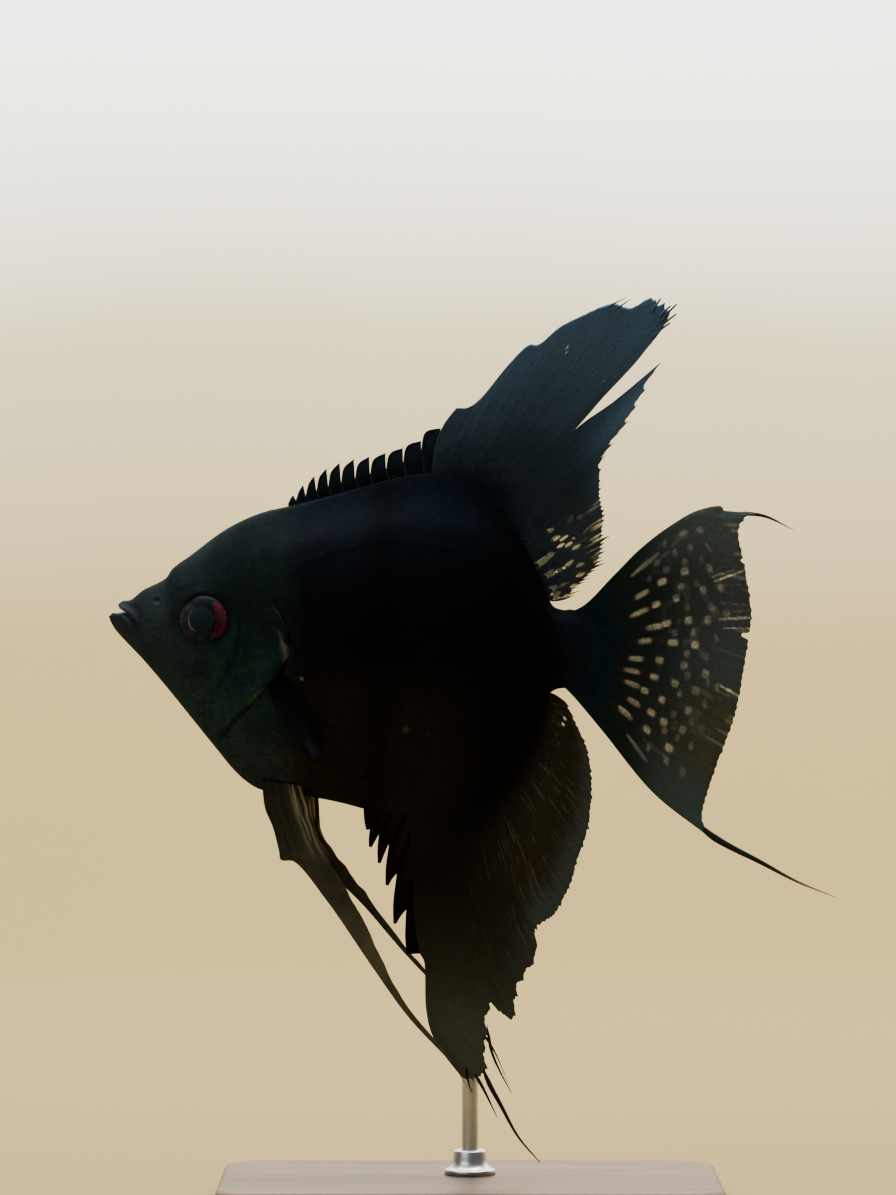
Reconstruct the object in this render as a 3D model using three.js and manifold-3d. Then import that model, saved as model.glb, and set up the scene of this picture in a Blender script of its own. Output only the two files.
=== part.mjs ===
// A black freshwater angelfish, life size, swimming to the left on a plain display stand.
//
// Frame: +X runs from the snout to the tail, -Y is the fish's left flank, +Z is up, millimetres.
// The origin is the middle of the stand's underside. Outlines are written as [x, v] pairs, where v is
// the height above the fish's long axis, a level line through the eye.

import * as THREE from "three";
import { mergeVertices } from "three/addons/utils/BufferGeometryUtils.js";
import Module from "manifold-3d";

const wasm = await Module();
wasm.setup();

// ---- driving dimensions ---------------------------------------------------------------------------

const STANDARD_LENGTH = 85; // snout to the root of the tail fin
const SNOUT_X = -65; // the tip of the lower jaw
const STALK_X = 22; // the rounded end of the tail stalk, inside the tail fin
const AXIS_HEIGHT = 105; // the long axis above the floor
const BODY_HALF_WIDTH = 7.4; // at the thickest place, behind the gill covers
const EYE_DIAMETER = 8.8;
const GAP = 0.3; // clearance between neighbouring pieces
const FIN_EDGE = 0.28; // half the thickness of a fin at its margin
const BASE_SIZE = { length: 90, depth: 54, height: 5, corner: 8, chamfer: 0.8 };
const ROD = { x: 0, y: 3.6, radius: 1.5, topV: -10 };

const SCALE = STANDARD_LENGTH / 85; // every outline below is drawn for a fish of 85 mm
const RING = 22; // points round one cross-section of the body
const SIDE = { left: -1, right: 1 };

// ---- curves ---------------------------------------------------------------------------------------

// A smooth function of x through the given [x, value] pairs.
function through(pairs) {
  const slope = pairs.map((_, i) => {
    const [x0, y0] = pairs[Math.max(i - 1, 0)];
    const [x1, y1] = pairs[Math.min(i + 1, pairs.length - 1)];
    return (y1 - y0) / (x1 - x0);
  });
  return (x) => {
    let i = 0;
    while (i < pairs.length - 2 && x > pairs[i + 1][0]) i += 1;
    const [x0, y0] = pairs[i];
    const [x1, y1] = pairs[i + 1];
    const span = x1 - x0;
    const u = Math.min(Math.max((x - x0) / span, 0), 1);
    const rise = u * u * (3 - 2 * u);
    const leave = u * (1 - u) * (1 - u) * span * slope[i];
    const arrive = u * u * (u - 1) * span * slope[i + 1];
    return y0 + (y1 - y0) * rise + leave + arrive;
  };
}

// A curve through [x, v] points, as a function of the share of its length.
function along(points) {
  const curve = new THREE.CatmullRomCurve3(
    points.map(([x, v]) => new THREE.Vector3(x, v, 0)), false, "centripetal",
  );
  return (share) => {
    const p = curve.getPointAt(Math.min(Math.max(share, 0), 1));
    return [p.x, p.y];
  };
}

const mix = (a, b, share) => a + (b - a) * share;

// ---- solids ---------------------------------------------------------------------------------------

// A closed solid from its corners, [x, y, v], and its triangles.
function solid(corners, triangles) {
  const vertProperties = new Float32Array(corners.flat());
  const triVerts = new Uint32Array(triangles.flat());
  return new wasm.Manifold(new wasm.Mesh({ numProp: 3, vertProperties, triVerts }));
}

// A solid from a three.js geometry that is already drawn in [x, y, v].
function solidOf(geometry) {
  geometry.deleteAttribute("normal");
  geometry.deleteAttribute("uv");
  const merged = mergeVertices(geometry, 1e-4);
  const vertProperties = new Float32Array(merged.attributes.position.array);
  const triVerts = new Uint32Array(merged.index.array);
  return new wasm.Manifold(new wasm.Mesh({ numProp: 3, vertProperties, triVerts }));
}

// Closed rings of equal size, one after another, capped at both ends.
function loft(rings) {
  const size = rings[0].length;
  const triangles = [];
  const cap = (start, flip) => {
    for (let i = 1; i < size - 1; i += 1) {
      triangles.push(flip ? [start, start + i + 1, start + i] : [start, start + i, start + i + 1]);
    }
  };
  for (let r = 0; r < rings.length - 1; r += 1) {
    for (let i = 0; i < size; i += 1) {
      const a = r * size + i;
      const b = r * size + ((i + 1) % size);
      triangles.push([a, a + size, b], [b, a + size, b + size]);
    }
  }
  cap(0, false);
  cap((rings.length - 1) * size, true);
  return solid(rings.flat(), triangles);
}

// An outline in the fish's middle plane, pulled out sideways from y0 to y1.
function prism(outline, y0, y1) {
  const shape = new THREE.Shape(outline.map(([x, v]) => new THREE.Vector2(x, v)));
  const geometry = new THREE.ExtrudeGeometry(shape, { depth: y1 - y0, bevelEnabled: false });
  geometry.rotateX(Math.PI / 2); // the outline's height becomes v, its depth becomes -y
  geometry.translate(0, y1, 0);
  return solidOf(geometry);
}

// A thin sheet over a grid of shares (s across, t outwards). place(s, t) gives [x, y, v] of its middle
// surface and half(s, t) its half thickness, measured along y.
function sheet(columns, rows, place, half) {
  const corners = [];
  const triangles = [];
  const width = columns + 1;
  const layer = width * (rows + 1);
  for (const side of [-1, 1]) {
    for (let j = 0; j <= rows; j += 1) {
      for (let i = 0; i <= columns; i += 1) {
        const [x, y, v] = place(i / columns, j / rows);
        corners.push([x, y + side * half(i / columns, j / rows), v]);
      }
    }
  }
  const quad = (a, b, c, d) => triangles.push([a, b, c], [a, c, d]);
  for (let j = 0; j < rows; j += 1) {
    for (let i = 0; i < columns; i += 1) {
      const a = j * width + i;
      quad(a, a + 1, a + 1 + width, a + width);
      quad(layer + a, layer + a + width, layer + a + 1 + width, layer + a + 1);
    }
    const first = j * width;
    const last = first + columns;
    quad(first, first + width, layer + first + width, layer + first);
    quad(last, layer + last, layer + last + width, last + width);
  }
  for (let i = 0; i < columns; i += 1) {
    const end = rows * width + i;
    quad(i, layer + i, layer + i + 1, i + 1);
    quad(end, end + 1, layer + end + 1, layer + end);
  }
  const made = solid(corners, triangles);
  if (made.volume() > 0) return made;
  return solid(corners, triangles.map(([a, b, c]) => [a, c, b]));
}

// ---- the body's form ------------------------------------------------------------------------------

// The back, from the upper lip over the nape to the tail stalk.
const back = through([
  [-65, 0.9], [-64.3, 1.7], [-63.5, 2.9], [-62.6, 3.7], [-61, 4], [-58.9, 5.7], [-54.8, 7.9],
  [-53.5, 9.7], [-50.3, 12.1], [-44, 16.8], [-38, 19.7], [-32.4, 21.1], [-23.4, 23.5], [-15.3, 25.8],
  [-9, 27], [-3.6, 26.6], [1.8, 24], [6.3, 19.4], [10, 13.6], [12.6, 8], [14.7, 3.2], [16.6, 2.2],
  [18.6, 2.2], [20.6, 0.6], [21.6, -2.4], [22, -5],
]);

// The belly, from the chin past the pelvic fins and under the anal fin to the tail stalk.
const belly = through([
  [-65, 0.7], [-64.5, -0.6], [-63.6, -2], [-62, -3.8], [-58.8, -7.2], [-54.4, -12.4], [-50.8, -16.9],
  [-46, -22.9], [-42.4, -27.3], [-39.4, -29.9], [-37, -30.9], [-30.6, -31.7], [-23.4, -33.1],
  [-18, -34.5], [-12, -35.5], [-6, -34.8], [0, -31.4], [5, -26.6], [9.4, -20.6], [12.6, -15.4],
  [14.9, -12.8], [17, -12.3], [18.9, -12.3], [20.6, -10.6], [21.6, -7.8], [22, -5.4],
]);

// How wide the body is along its length, as a share of BODY_HALF_WIDTH.
const widthShare = through([
  [-65, 0.1], [-63.8, 0.22], [-61.5, 0.32], [-58, 0.42], [-53, 0.56], [-48, 0.68], [-42, 0.82],
  [-36, 0.93], [-29, 1], [-20, 0.99], [-11, 0.93], [-3, 0.83], [5, 0.68], [11, 0.52], [16, 0.38],
  [20, 0.28], [22, 0.19],
]);

// The level at which each cross-section is widest.
const waist = through([[-65, 0.8], [-61, -0.5], [-54, -2.5], [-45, -4], [-30, -6], [-10, -7], [8, -6], [22, -5.2]]);

// How far the flanks draw in towards the back and belly: 1 is an ellipse, more is a thinner lens.
const lens = through([[-65, 1], [-56, 1.15], [-44, 1.3], [-30, 1.5], [-12, 1.7], [6, 1.6], [16, 1.2], [22, 1.1]]);

// One cross-section, from the widest level up to the back and down to the belly.
function section(x, grow) {
  const EDGE = 0.6; // half the thickness left at the back and belly lines
  const middle = waist(x);
  const width = BODY_HALF_WIDTH * widthShare(x) + grow;
  const edge = Math.min(EDGE + grow, 0.4 * width);
  const ring = [];
  for (let i = 0; i < RING; i += 1) {
    const turn = ((i + 0.5) / RING) * 2 * Math.PI;
    const rise = Math.cos(turn);
    const height = rise > 0 ? back(x) + grow - middle : middle - belly(x) + grow;
    const bulge = Math.abs(Math.sin(turn)) ** lens(x);
    ring.push([x, Math.sign(Math.sin(turn)) * mix(edge, width, bulge), middle + rise * height]);
  }
  return ring;
}

// The whole body in one piece, made larger by grow on every side.
function bodyForm(grow) {
  const SNOUT_STEP = 0.65;
  const SNOUT_STEPS = 6;
  const stepAfter = (x) => (x < 4 ? 3 : 1.9); // closer where the outline falls steeply to the stalk
  const END_STEPS = 5;
  const stations = [];
  for (let i = 0; i <= SNOUT_STEPS; i += 1) stations.push(SNOUT_X + i * SNOUT_STEP);
  for (let x = stations.at(-1) + 2; x < STALK_X - 4; x += stepAfter(x)) stations.push(x);
  for (let i = 0; i <= END_STEPS; i += 1) stations.push(STALK_X - 3.4 + (3.4 * i) / END_STEPS);
  const rings = stations.map((x) => section(x, grow));
  const shift = (ring, dx) => ring.map(([x, y, v]) => [x + dx, y, v]);
  rings[0] = shift(rings[0], -grow);
  rings[rings.length - 1] = shift(rings.at(-1), grow);
  return loft(rings);
}

const body = bodyForm(0);
const bodyAndGap = bodyForm(GAP + 0.05);
const REACH = 12; // further sideways than any part of the body

// ---- mouth ----------------------------------------------------------------------------------------

// The open lips: a short notch in front, going on as the thin line of the mouth to its corner.
const MOUTH_CORNER = [-59.4, -1.9];
const gape = prism([
  [-66, 1.75], [-64.5, 1.72], [-62.6, 1.25], [-61, 0], MOUTH_CORNER, [-60.7, 0.3], [-62.5, 1.9],
  [-63.05, 2.35], [-63.4, 2.75], [-66, 4.2],
], -REACH, REACH);

// The upper jaw is the lip and the short bone behind it. The lower jaw runs back to the chin.
const upperJawLine = [[-62.4, 6], [-60.6, 3.9], [-59.3, 1.4], [-59, -1.4], MOUTH_CORNER];
const lowerJawLine = [MOUTH_CORNER, [-58.4, -3.8], [-58.2, -5.6], [-57.2, -9.6]];
const mouthLine = [[-60.9, 0.15], [-62.6, 1.5], [-64.5, 1.73], [-68, 1.74]];
const upperJawZone = prism([...upperJawLine, ...mouthLine, [-68, 6]], -REACH, REACH);
const lowerJawZone = prism([...lowerJawLine, [-68, -9.6], ...[...mouthLine].reverse()], -REACH, REACH);

// ---- gill covers ----------------------------------------------------------------------------------

// The free hind edge of the gill cover, from the nape side down to the throat.
const gillEdge = [
  [-36.2, 3.6], [-33.9, 0.8], [-32.5, -2.8], [-32.6, -5.6], [-34.2, -9.3], [-36.9, -12.4],
  [-39.8, -15.2], [-43.2, -18.8], [-46.4, -22.6],
];
const gillHinge = [[-50.6, -17.2], [-46.4, -12.6], [-43, -7.4], [-41.4, -1.6], [-40.4, 3]];
const GILL_THICKNESS = 1.2;

const gillOutline = [...gillEdge, ...gillHinge];
const bodyCore = bodyForm(-GILL_THICKNESS);

// The cover's outline drawn larger all round, for the space that it lies in.
function widened(outline, by) {
  const centre = outline.reduce(([a, b], [x, v]) => [a + x / outline.length, b + v / outline.length], [0, 0]);
  return outline.map(([x, v]) => {
    const reach = Math.hypot(x - centre[0], v - centre[1]);
    const share = (reach + by) / reach;
    return [mix(centre[0], x, share), mix(centre[1], v, share)];
  });
}

// The two covers stop this far short of the fish's middle plane, where the throat lies between them.
const THROAT = 1.45;

function flank(side, outline, from) {
  return side === SIDE.left ? prism(outline, -REACH, -from) : prism(outline, from, REACH);
}

const gillCover = (side) => body.subtract(bodyCore).intersect(flank(side, gillOutline, THROAT));

const gillSpace = (side) => {
  const deep = bodyForm(GAP).subtract(bodyForm(-GILL_THICKNESS - GAP));
  return deep.intersect(flank(side, widened(gillOutline, GAP * 1.5), THROAT - GAP));
};

// ---- eyes -----------------------------------------------------------------------------------------

const EYE = { x: -48.1, v: 0.2, depth: 2.5, proud: 0.9 };

// An eyeball, flattened across the head, its front standing a little proud of the cheek.
function eyeball(side, grow) {
  const ball = new THREE.SphereGeometry(1, 14, 9);
  ball.scale(EYE_DIAMETER / 2 + grow, EYE.depth + grow, EYE_DIAMETER / 2 + grow);
  const cheek = BODY_HALF_WIDTH * widthShare(EYE.x);
  ball.applyMatrix4(new THREE.Matrix4().makeTranslation(EYE.x, side * (cheek + EYE.proud - EYE.depth), EYE.v));
  return solidOf(ball);
}

// ---- where the body is parted ---------------------------------------------------------------------

// The seam between head and trunk follows the gill cover's hind edge, then drops through the throat.
const seam = [[-34.6, 34], [-35.4, 12], ...gillEdge, [-45.4, -26], [-44.6, -34]];
const shifted = (line, dx) => line.map(([x, v]) => [x + dx, v]);
const headZone = prism([...seam, [-70, -34], [-70, 34]], -REACH, REACH);
const trunkZone = prism([...shifted(seam, GAP), [14, -40], [13.4, -24], [14.6, -5], [13.4, 12], [14, 34]], -REACH, REACH);
const stalkZone = prism([[14 + GAP, 34], [13.4 + GAP, 12], [14.6 + GAP, -5], [13.4 + GAP, -24], [14 + GAP, -40],
  [30, -40], [30, 34]], -REACH, REACH);

// ---- fins -----------------------------------------------------------------------------------------

// A fin's surface between its four edges: the root, the leading ray, the margin and the last ray.
function finSurface({ root, lead, margin, trail }) {
  const edges = { root: along(root), lead: along(lead), margin: along(margin), trail: along(trail) };
  return (s, t) => [0, 1].map((k) => {
    const across = mix(edges.root(s)[k], edges.margin(s)[k], t) + mix(edges.lead(t)[k], edges.trail(t)[k], s);
    const near = mix(edges.root(0)[k], edges.root(1)[k], s);
    const far = mix(edges.margin(0)[k], edges.margin(1)[k], s);
    return across - mix(near, far, t);
  });
}

// A fin in the middle plane, thick at its root and thin at its margin. Its rays end in small points,
// with the skin between them drawn back by tooth.
function medianFin(fin) {
  const surface = finSurface(fin);
  const columns = fin.rays * 2;
  const place = (s, t) => {
    const [x, v] = surface(s, t);
    const between = Math.round(s * columns) % 2 === 1 && t === 1;
    if (!between) return [x, 0, v];
    const [rootX, rootV] = surface(s, 0.5);
    const reach = Math.hypot(x - rootX, v - rootV);
    const share = Math.min(fin.tooth / reach, 0.5);
    return [mix(x, rootX, share), 0, mix(v, rootV, share)];
  };
  const half = (s, t) => mix(fin.thick, FIN_EDGE, Math.sqrt(t));
  return sheet(columns, fin.rows, place, half);
}

// A row of spines with skin between them: out along the front of each spine to its tip, bowed
// forwards by bow(i) of its bare length, across the tip's width and back to the next notch.
function spinyFin({ start, tips, notches, end, bow, tipWidth }) {
  const HALF_THICKNESS = 0.42;
  const outline = [...start];
  tips.forEach(([tipX, tipV], i) => {
    const [x, v] = outline.at(-1);
    const depth = bow(i);
    outline.push([mix(x, tipX, 0.6) - depth * Math.abs(tipV - v), mix(v, tipV, 0.6) + depth * (tipX - x)]);
    outline.push([tipX, tipV], [tipX + tipWidth, tipV], notches[i]);
  });
  return prism([...outline, ...end], -HALF_THICKNESS, HALF_THICKNESS);
}

// Everything behind a soft fin's leading ray, with a clearance in front of it.
function behind({ lead }) {
  const STEPS = 12;
  const at = along(lead);
  const line = Array.from({ length: STEPS + 1 }, (_, i) => at(i / STEPS));
  const far = [[STALK_X, line.at(-1)[1]], [STALK_X, line[0][1]]];
  return prism([...shifted(line, -GAP - 0.05), ...far], -REACH, REACH);
}

// A tapered thread along a path, its section a flat diamond.
function thread(path, y, thickness) {
  const STEPS = 7;
  const at = along(path);
  const rings = [];
  for (let i = 0; i <= STEPS; i += 1) {
    const share = i / STEPS;
    const [x, v] = at(share);
    const [ax, av] = at(Math.max(share - 0.02, 0));
    const [bx, bv] = at(Math.min(share + 0.02, 1));
    const length = Math.hypot(bx - ax, bv - av);
    const nx = -(bv - av) / length;
    const nv = (bx - ax) / length;
    const r = mix(thickness[0], thickness[1], share) / 2;
    const side = y(share);
    rings.push([[x + nx * r, side, v + nv * r], [x, side + FIN_EDGE, v], [x - nx * r, side, v - nv * r],
      [x, side - FIN_EDGE, v]]);
  }
  const made = loft(rings);
  if (made.volume() > 0) return made;
  return loft(rings.map((ring) => [...ring].reverse()));
}

const inMiddle = () => 0;

// Dorsal fin: eleven short spines along the back, the twelfth leading the tall soft part.
const DORSAL_SPINES = 11;
const spineTipX = (i) => -32 + 1.7 * i + 0.095 * i * i;
const spineTipV = through([[0, 22.5], [2, 25.9], [4, 28.3], [7, 30.1], [9, 32.3], [10, 34.6], [11, 38.6]]);
const dorsalNotchV = through([[-33, 20.9], [-27.5, 23.1], [-20.6, 25.1], [-13, 27.5], [-10.3, 29], [-6.2, 32.8]]);

function dorsalSpines() {
  const tips = [];
  const notches = [];
  for (let i = 0; i < DORSAL_SPINES; i += 1) {
    const notchX = spineTipX(i) + mix(0.7, 0.1, i / DORSAL_SPINES);
    tips.push([spineTipX(i), spineTipV(i)]);
    notches.push([notchX, dorsalNotchV(notchX)]);
  }
  return spinyFin({
    start: [[-30, 18], [-33, 20], [-32.7, 21]],
    tips,
    notches,
    end: [[-5, 31], [-6, 24]],
    bow: (i) => mix(0.04, 0.32, i / DORSAL_SPINES),
    tipWidth: 0.2,
  });
}

const DORSAL_FRONT_LOBE = {
  rays: 10, rows: 4, thick: 0.85, tooth: 0.35,
  root: [[-7, 24.5], [-3, 24], [1, 21.4], [3.4, 18.8]],
  lead: [[-7, 24.5], [-6.4, 31], [-4.6, 35.6], [-2.2, 38.6]],
  margin: [[-2.2, 38.6], [1, 39.3], [5.4, 44.4], [10.2, 49.4], [16.2, 52.8], [26.2, 57.3], [33.4, 57.8],
    [36.6, 55.2], [34.6, 52.2]],
  trail: [[3.4, 18.8], [12, 27.2], [20.4, 35.4], [29, 44.7], [34.6, 52.2]],
};
const DORSAL_REAR_LOBE = {
  rays: 14, rows: 4, thick: 0.85, tooth: 0.7,
  root: [[3, 19.2], [6.6, 14], [9.6, 8.6], [12, 4.2]],
  lead: [[3, 19.2], [12, 28.2], [19.9, 35.6], [27.2, 40.8], [34.2, 45.9]],
  margin: [[34.2, 45.9], [30.3, 38.6], [27.4, 33.4], [24.8, 28.7], [24, 22.8], [25.2, 17.4], [24.6, 10.9],
    [20.6, 5.2]],
  trail: [[12, 4.2], [15.4, 3.7], [20.6, 5.2]],
};

// Anal fin: six spines of growing length, then the deep soft part that runs back to the tail stalk.
const ANAL_SPINE_TIPS = [[-18.7, -37.6], [-18.2, -40.7], [-16.6, -43.6], [-15.2, -47.6], [-13.8, -54.5], [-11.4, -60]];
const ANAL_NOTCHES = [[-17.9, -36.5], [-16.3, -37.4], [-14.6, -40.2], [-13.2, -45.5], [-11.5, -52], [-8.9, -59.4]];
const ANAL_SOFT = {
  rays: 18, rows: 4, thick: 0.85, tooth: 0.5,
  root: [[-11, -33], [-4.5, -32.4], [1, -29], [6.4, -22.6], [12.4, -12.4]],
  lead: [[-11, -33], [-9.9, -46.7], [-8.6, -57], [-8.4, -68.6], [-6.8, -75], [-2.6, -80.8], [1, -84.2]],
  margin: [[1, -84.2], [3.4, -83.6], [3.9, -77], [4.7, -71], [8.2, -71.6], [9.4, -66], [12.8, -60.4], [14.2, -55.2],
    [18.8, -47.2], [21.8, -37.4], [22.5, -30], [21.5, -23.2], [18, -15.2]],
  trail: [[12.4, -12.4], [15.2, -13.2], [18, -15.2]],
};
const ANAL_THREADS = [
  [[1.4, -80], [4, -84], [8.7, -92.9], [12.6, -97.5]],
  [[0.6, -81], [2.6, -84.6], [5.1, -89.7]],
];

function analSpines() {
  return spinyFin({
    start: [[-16, -31], [-19.2, -33.6]],
    tips: ANAL_SPINE_TIPS,
    notches: ANAL_NOTCHES,
    end: [[-8, -56], [-8, -33]],
    bow: () => 0.03,
    tipWidth: 0.8,
  });
}

// Tail fin: a broad triangle with a thread at each corner.
const CAUDAL = {
  rays: 14, rows: 4, thick: 1.25, tooth: 0.45,
  root: [[16.4, 1.2], [19, -5.2], [16.4, -11.4]],
  lead: [[16.4, 1.2], [20.2, 2.6], [25.8, 8.1], [30.8, 13.1], [36, 17.1], [41, 19.9], [46, 20.7], [52.5, 19.2]],
  margin: [[52.5, 19.2], [49.4, 16.8], [49.7, 10.8], [51.2, 1], [49.2, -3.4], [50.2, -8.4], [48.2, -17.6],
    [45.1, -25.6], [42, -34.6], [42.6, -38.6]],
  trail: [[16.4, -11.4], [18.6, -13.6], [23.9, -19.9], [33, -31], [42.6, -38.6]],
};
const CAUDAL_THREADS = [
  { path: [[47, 19.5], [52.8, 18.9], [58.2, 16.4]], thickness: [1.1, 0.5] },
  { path: [[39, -34.4], [43.4, -38.6], [52.6, -43.6], [59, -47], [65.7, -49.7]], thickness: [1.8, 0.5] },
];

// A paired belly fin: a narrow blade whose first rays run out into a long thread. across(t) places it
// sideways, from its root to its tip.
function pelvicFin({ front, rear, across }) {
  const frontEdge = along(front);
  const rearEdge = along(rear);
  const ROWS = 18;
  const COLUMNS = 3;
  const place = (s, t) => {
    const a = frontEdge(t);
    const b = rearEdge(t);
    return [mix(a[0], b[0], s), across(t), mix(a[1], b[1], s)];
  };
  const half = (s, t) => mix(0.5, FIN_EDGE, t) * mix(1, 0.8, Math.abs(2 * s - 1));
  return sheet(COLUMNS, ROWS, place, half);
}

const PELVIC_LEFT = {
  front: [[-37.4, -28.6], [-36.8, -33.6], [-35.4, -37], [-33.9, -42.4], [-31.3, -43.4], [-25.8, -50],
    [-17.5, -62.1], [-11.6, -70.4], [-3.3, -79.9], [-0.2, -84.9]],
  rear: [[-30.2, -29.6], [-28.2, -36.6], [-24.4, -44.9], [-22.6, -47.8], [-19.9, -52.6], [-16.6, -59.2],
    [-13.9, -64.7], [-10.6, -70], [-2.7, -79.4], [0.4, -84.5]],
  across: through([[0, -1.7], [0.2, -3.1], [0.5, -3.6], [1, -2.4]]),
};
const PELVIC_RIGHT = {
  front: [[-36.4, -28.8], [-35.2, -34], [-31.4, -39.6], [-26.4, -44.6], [-19.7, -50.7], [-11.7, -59.8],
    [-1.4, -70.6], [3.6, -76.5], [7.4, -85.2]],
  rear: [[-27.4, -29.8], [-26.8, -37.4], [-23.6, -43], [-21.2, -46], [-16.6, -52.2], [-10.9, -59.3],
    [-0.8, -70.2], [4.2, -76.2], [8, -85]],
  across: through([[0, 1.7], [0.2, 3], [0.5, 2.6], [0.7, 1.3], [1, 1.2]]),
};

// A breast fin folded down behind the gill cover, standing out from the flank towards its tip.
const PECTORAL = {
  root: [[-36.2, -7], [-36.6, -9], [-36.4, -11]],
  lead: [[-36.2, -7], [-31, -9.2], [-26.4, -14.6], [-25.4, -19.4]],
  margin: [[-25.4, -19.4], [-25.8, -23.4], [-27.6, -25.4], [-30, -23.6]],
  trail: [[-36.4, -11], [-34.4, -16.6], [-30, -23.6]],
};

function pectoralFin(side) {
  const surface = finSurface(PECTORAL);
  const LEAN = 0.3; // sideways for each millimetre outwards
  const flank = BODY_HALF_WIDTH * widthShare(-34.5) - 0.9;
  const place = (s, t) => {
    const [x, v] = surface(s, t);
    const out = Math.hypot(x + 36.4, v + 9);
    return [x, side * (flank + LEAN * out), v];
  };
  const half = (s, t) => mix(0.5, FIN_EDGE, t);
  return sheet(8, 4, place, half);
}

// ---- the stand ------------------------------------------------------------------------------------

function standBase() {
  const { length, depth, height, corner, chamfer } = BASE_SIZE;
  const w = length / 2 - chamfer;
  const d = depth / 2 - chamfer;
  const shape = new THREE.Shape();
  shape.moveTo(-w + corner, -d);
  shape.lineTo(w - corner, -d);
  shape.quadraticCurveTo(w, -d, w, -d + corner);
  shape.lineTo(w, d - corner);
  shape.quadraticCurveTo(w, d, w - corner, d);
  shape.lineTo(-w + corner, d);
  shape.quadraticCurveTo(-w, d, -w, d - corner);
  shape.lineTo(-w, -d + corner);
  shape.quadraticCurveTo(-w, -d, -w + corner, -d);
  const geometry = new THREE.ExtrudeGeometry(shape, {
    depth: height - 2 * chamfer, bevelThickness: chamfer, bevelSize: chamfer, bevelSegments: 1, curveSegments: 5,
  });
  geometry.translate(0, 0, chamfer);
  return geometry;
}

// The collar that holds the rod's foot.
function standCollar() {
  const inner = ROD.radius + GAP;
  const z = BASE_SIZE.height;
  const profile = [[inner, z], [4.6, z], [4.6, z + 1], [3.2, z + 1.8], [2.9, z + 4.4], [inner, z + 4.4], [inner, z]];
  const geometry = new THREE.LatheGeometry(profile.map(([r, h]) => new THREE.Vector2(r, h)), 16);
  geometry.rotateX(Math.PI / 2);
  geometry.translate(ROD.x, ROD.y, 0);
  return geometry;
}

// The rod, or with grow the bore that it leaves in the trunk.
function rodSolid(grow) {
  const bottom = BASE_SIZE.height - AXIS_HEIGHT;
  const length = ROD.topV - bottom + grow;
  const rod = new THREE.CylinderGeometry(ROD.radius + grow, ROD.radius + grow, length, 14);
  rod.rotateX(Math.PI / 2);
  rod.translate(ROD.x, ROD.y, bottom + length / 2);
  return solidOf(rod);
}

// ---- assembly -------------------------------------------------------------------------------------

const skinFinish = (color, roughness) => new THREE.MeshStandardMaterial({ color, roughness, metalness: 0 });
const FINISH = {
  back: skinFinish(0x14191d, 0.45),
  flank: skinFinish(0x100e0c, 0.45),
  cheek: skinFinish(0x1a211d, 0.4),
  lip: skinFinish(0x22272a, 0.5),
  fin: skinFinish(0x0b0d10, 0.55),
  eye: new THREE.MeshStandardMaterial({ color: 0x5c1414, roughness: 0.08, metalness: 0 }),
  board: new THREE.MeshStandardMaterial({ color: 0x3b2a1f, roughness: 0.5, metalness: 0 }),
  metal: new THREE.MeshStandardMaterial({ color: 0xb9bdc1, roughness: 0.3, metalness: 1 }),
};

const part = new THREE.Group();
const fish = new THREE.Group();
fish.position.z = AXIS_HEIGHT;
fish.scale.setScalar(SCALE);
part.add(fish);

// A cut solid as a three.js geometry. Corners closer together than WELD become one corner, and the
// slivers that lay between them go.
function finished(shape) {
  const WELD = 0.004;
  const { vertProperties, triVerts } = shape.getMesh();
  const geometry = new THREE.BufferGeometry();
  geometry.setAttribute("position", new THREE.BufferAttribute(vertProperties, 3));
  geometry.setIndex(new THREE.BufferAttribute(triVerts, 1));
  const merged = mergeVertices(geometry, WELD);
  const kept = [];
  for (let i = 0; i < merged.index.count; i += 3) {
    const corners = [0, 1, 2].map((k) => merged.index.getX(i + k));
    if (new Set(corners).size === corners.length) kept.push(...corners);
  }
  merged.setIndex(kept);
  return merged;
}

function add(group, name, shape, finish) {
  const geometry = shape instanceof wasm.Manifold ? finished(shape) : shape;
  const mesh = new THREE.Mesh(geometry, finish);
  mesh.name = name;
  group.add(mesh);
}

const eyeSockets = eyeball(SIDE.left, GAP).add(eyeball(SIDE.right, GAP));
const gillSpaces = gillSpace(SIDE.left).add(gillSpace(SIDE.right));
const muzzle = body.subtract(gape);
const jawGap = (zone, line) => {
  const cut = line.map(([x, v]) => [x + GAP * 0.8, v]);
  return zone.add(prism([...line, ...cut.reverse()], -REACH, REACH));
};

const upperJaw = muzzle.intersect(upperJawZone);
const lowerJaw = muzzle.intersect(lowerJawZone);
const jawSpace = jawGap(upperJawZone, upperJawLine).add(jawGap(lowerJawZone, lowerJawLine));
const head = muzzle.intersect(headZone).subtract(jawSpace).subtract(eyeSockets).subtract(gillSpaces);
const trunk = body.intersect(trunkZone).subtract(gillSpaces).subtract(rodSolid(GAP));

add(fish, "head", head, FINISH.back);
add(fish, "upper_jaw", upperJaw, FINISH.lip);
add(fish, "lower_jaw", lowerJaw, FINISH.lip);
add(fish, "trunk", trunk, FINISH.flank);
add(fish, "tail_stalk", body.intersect(stalkZone), FINISH.flank);
for (const [name, side] of Object.entries(SIDE)) {
  add(fish, `eye_${name}`, eyeball(side, 0), FINISH.eye);
  add(fish, `gill_cover_${name}`, gillCover(side), FINISH.cheek);
  add(fish, `pectoral_fin_${name}`, pectoralFin(side).subtract(bodyAndGap), FINISH.fin);
}

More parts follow.
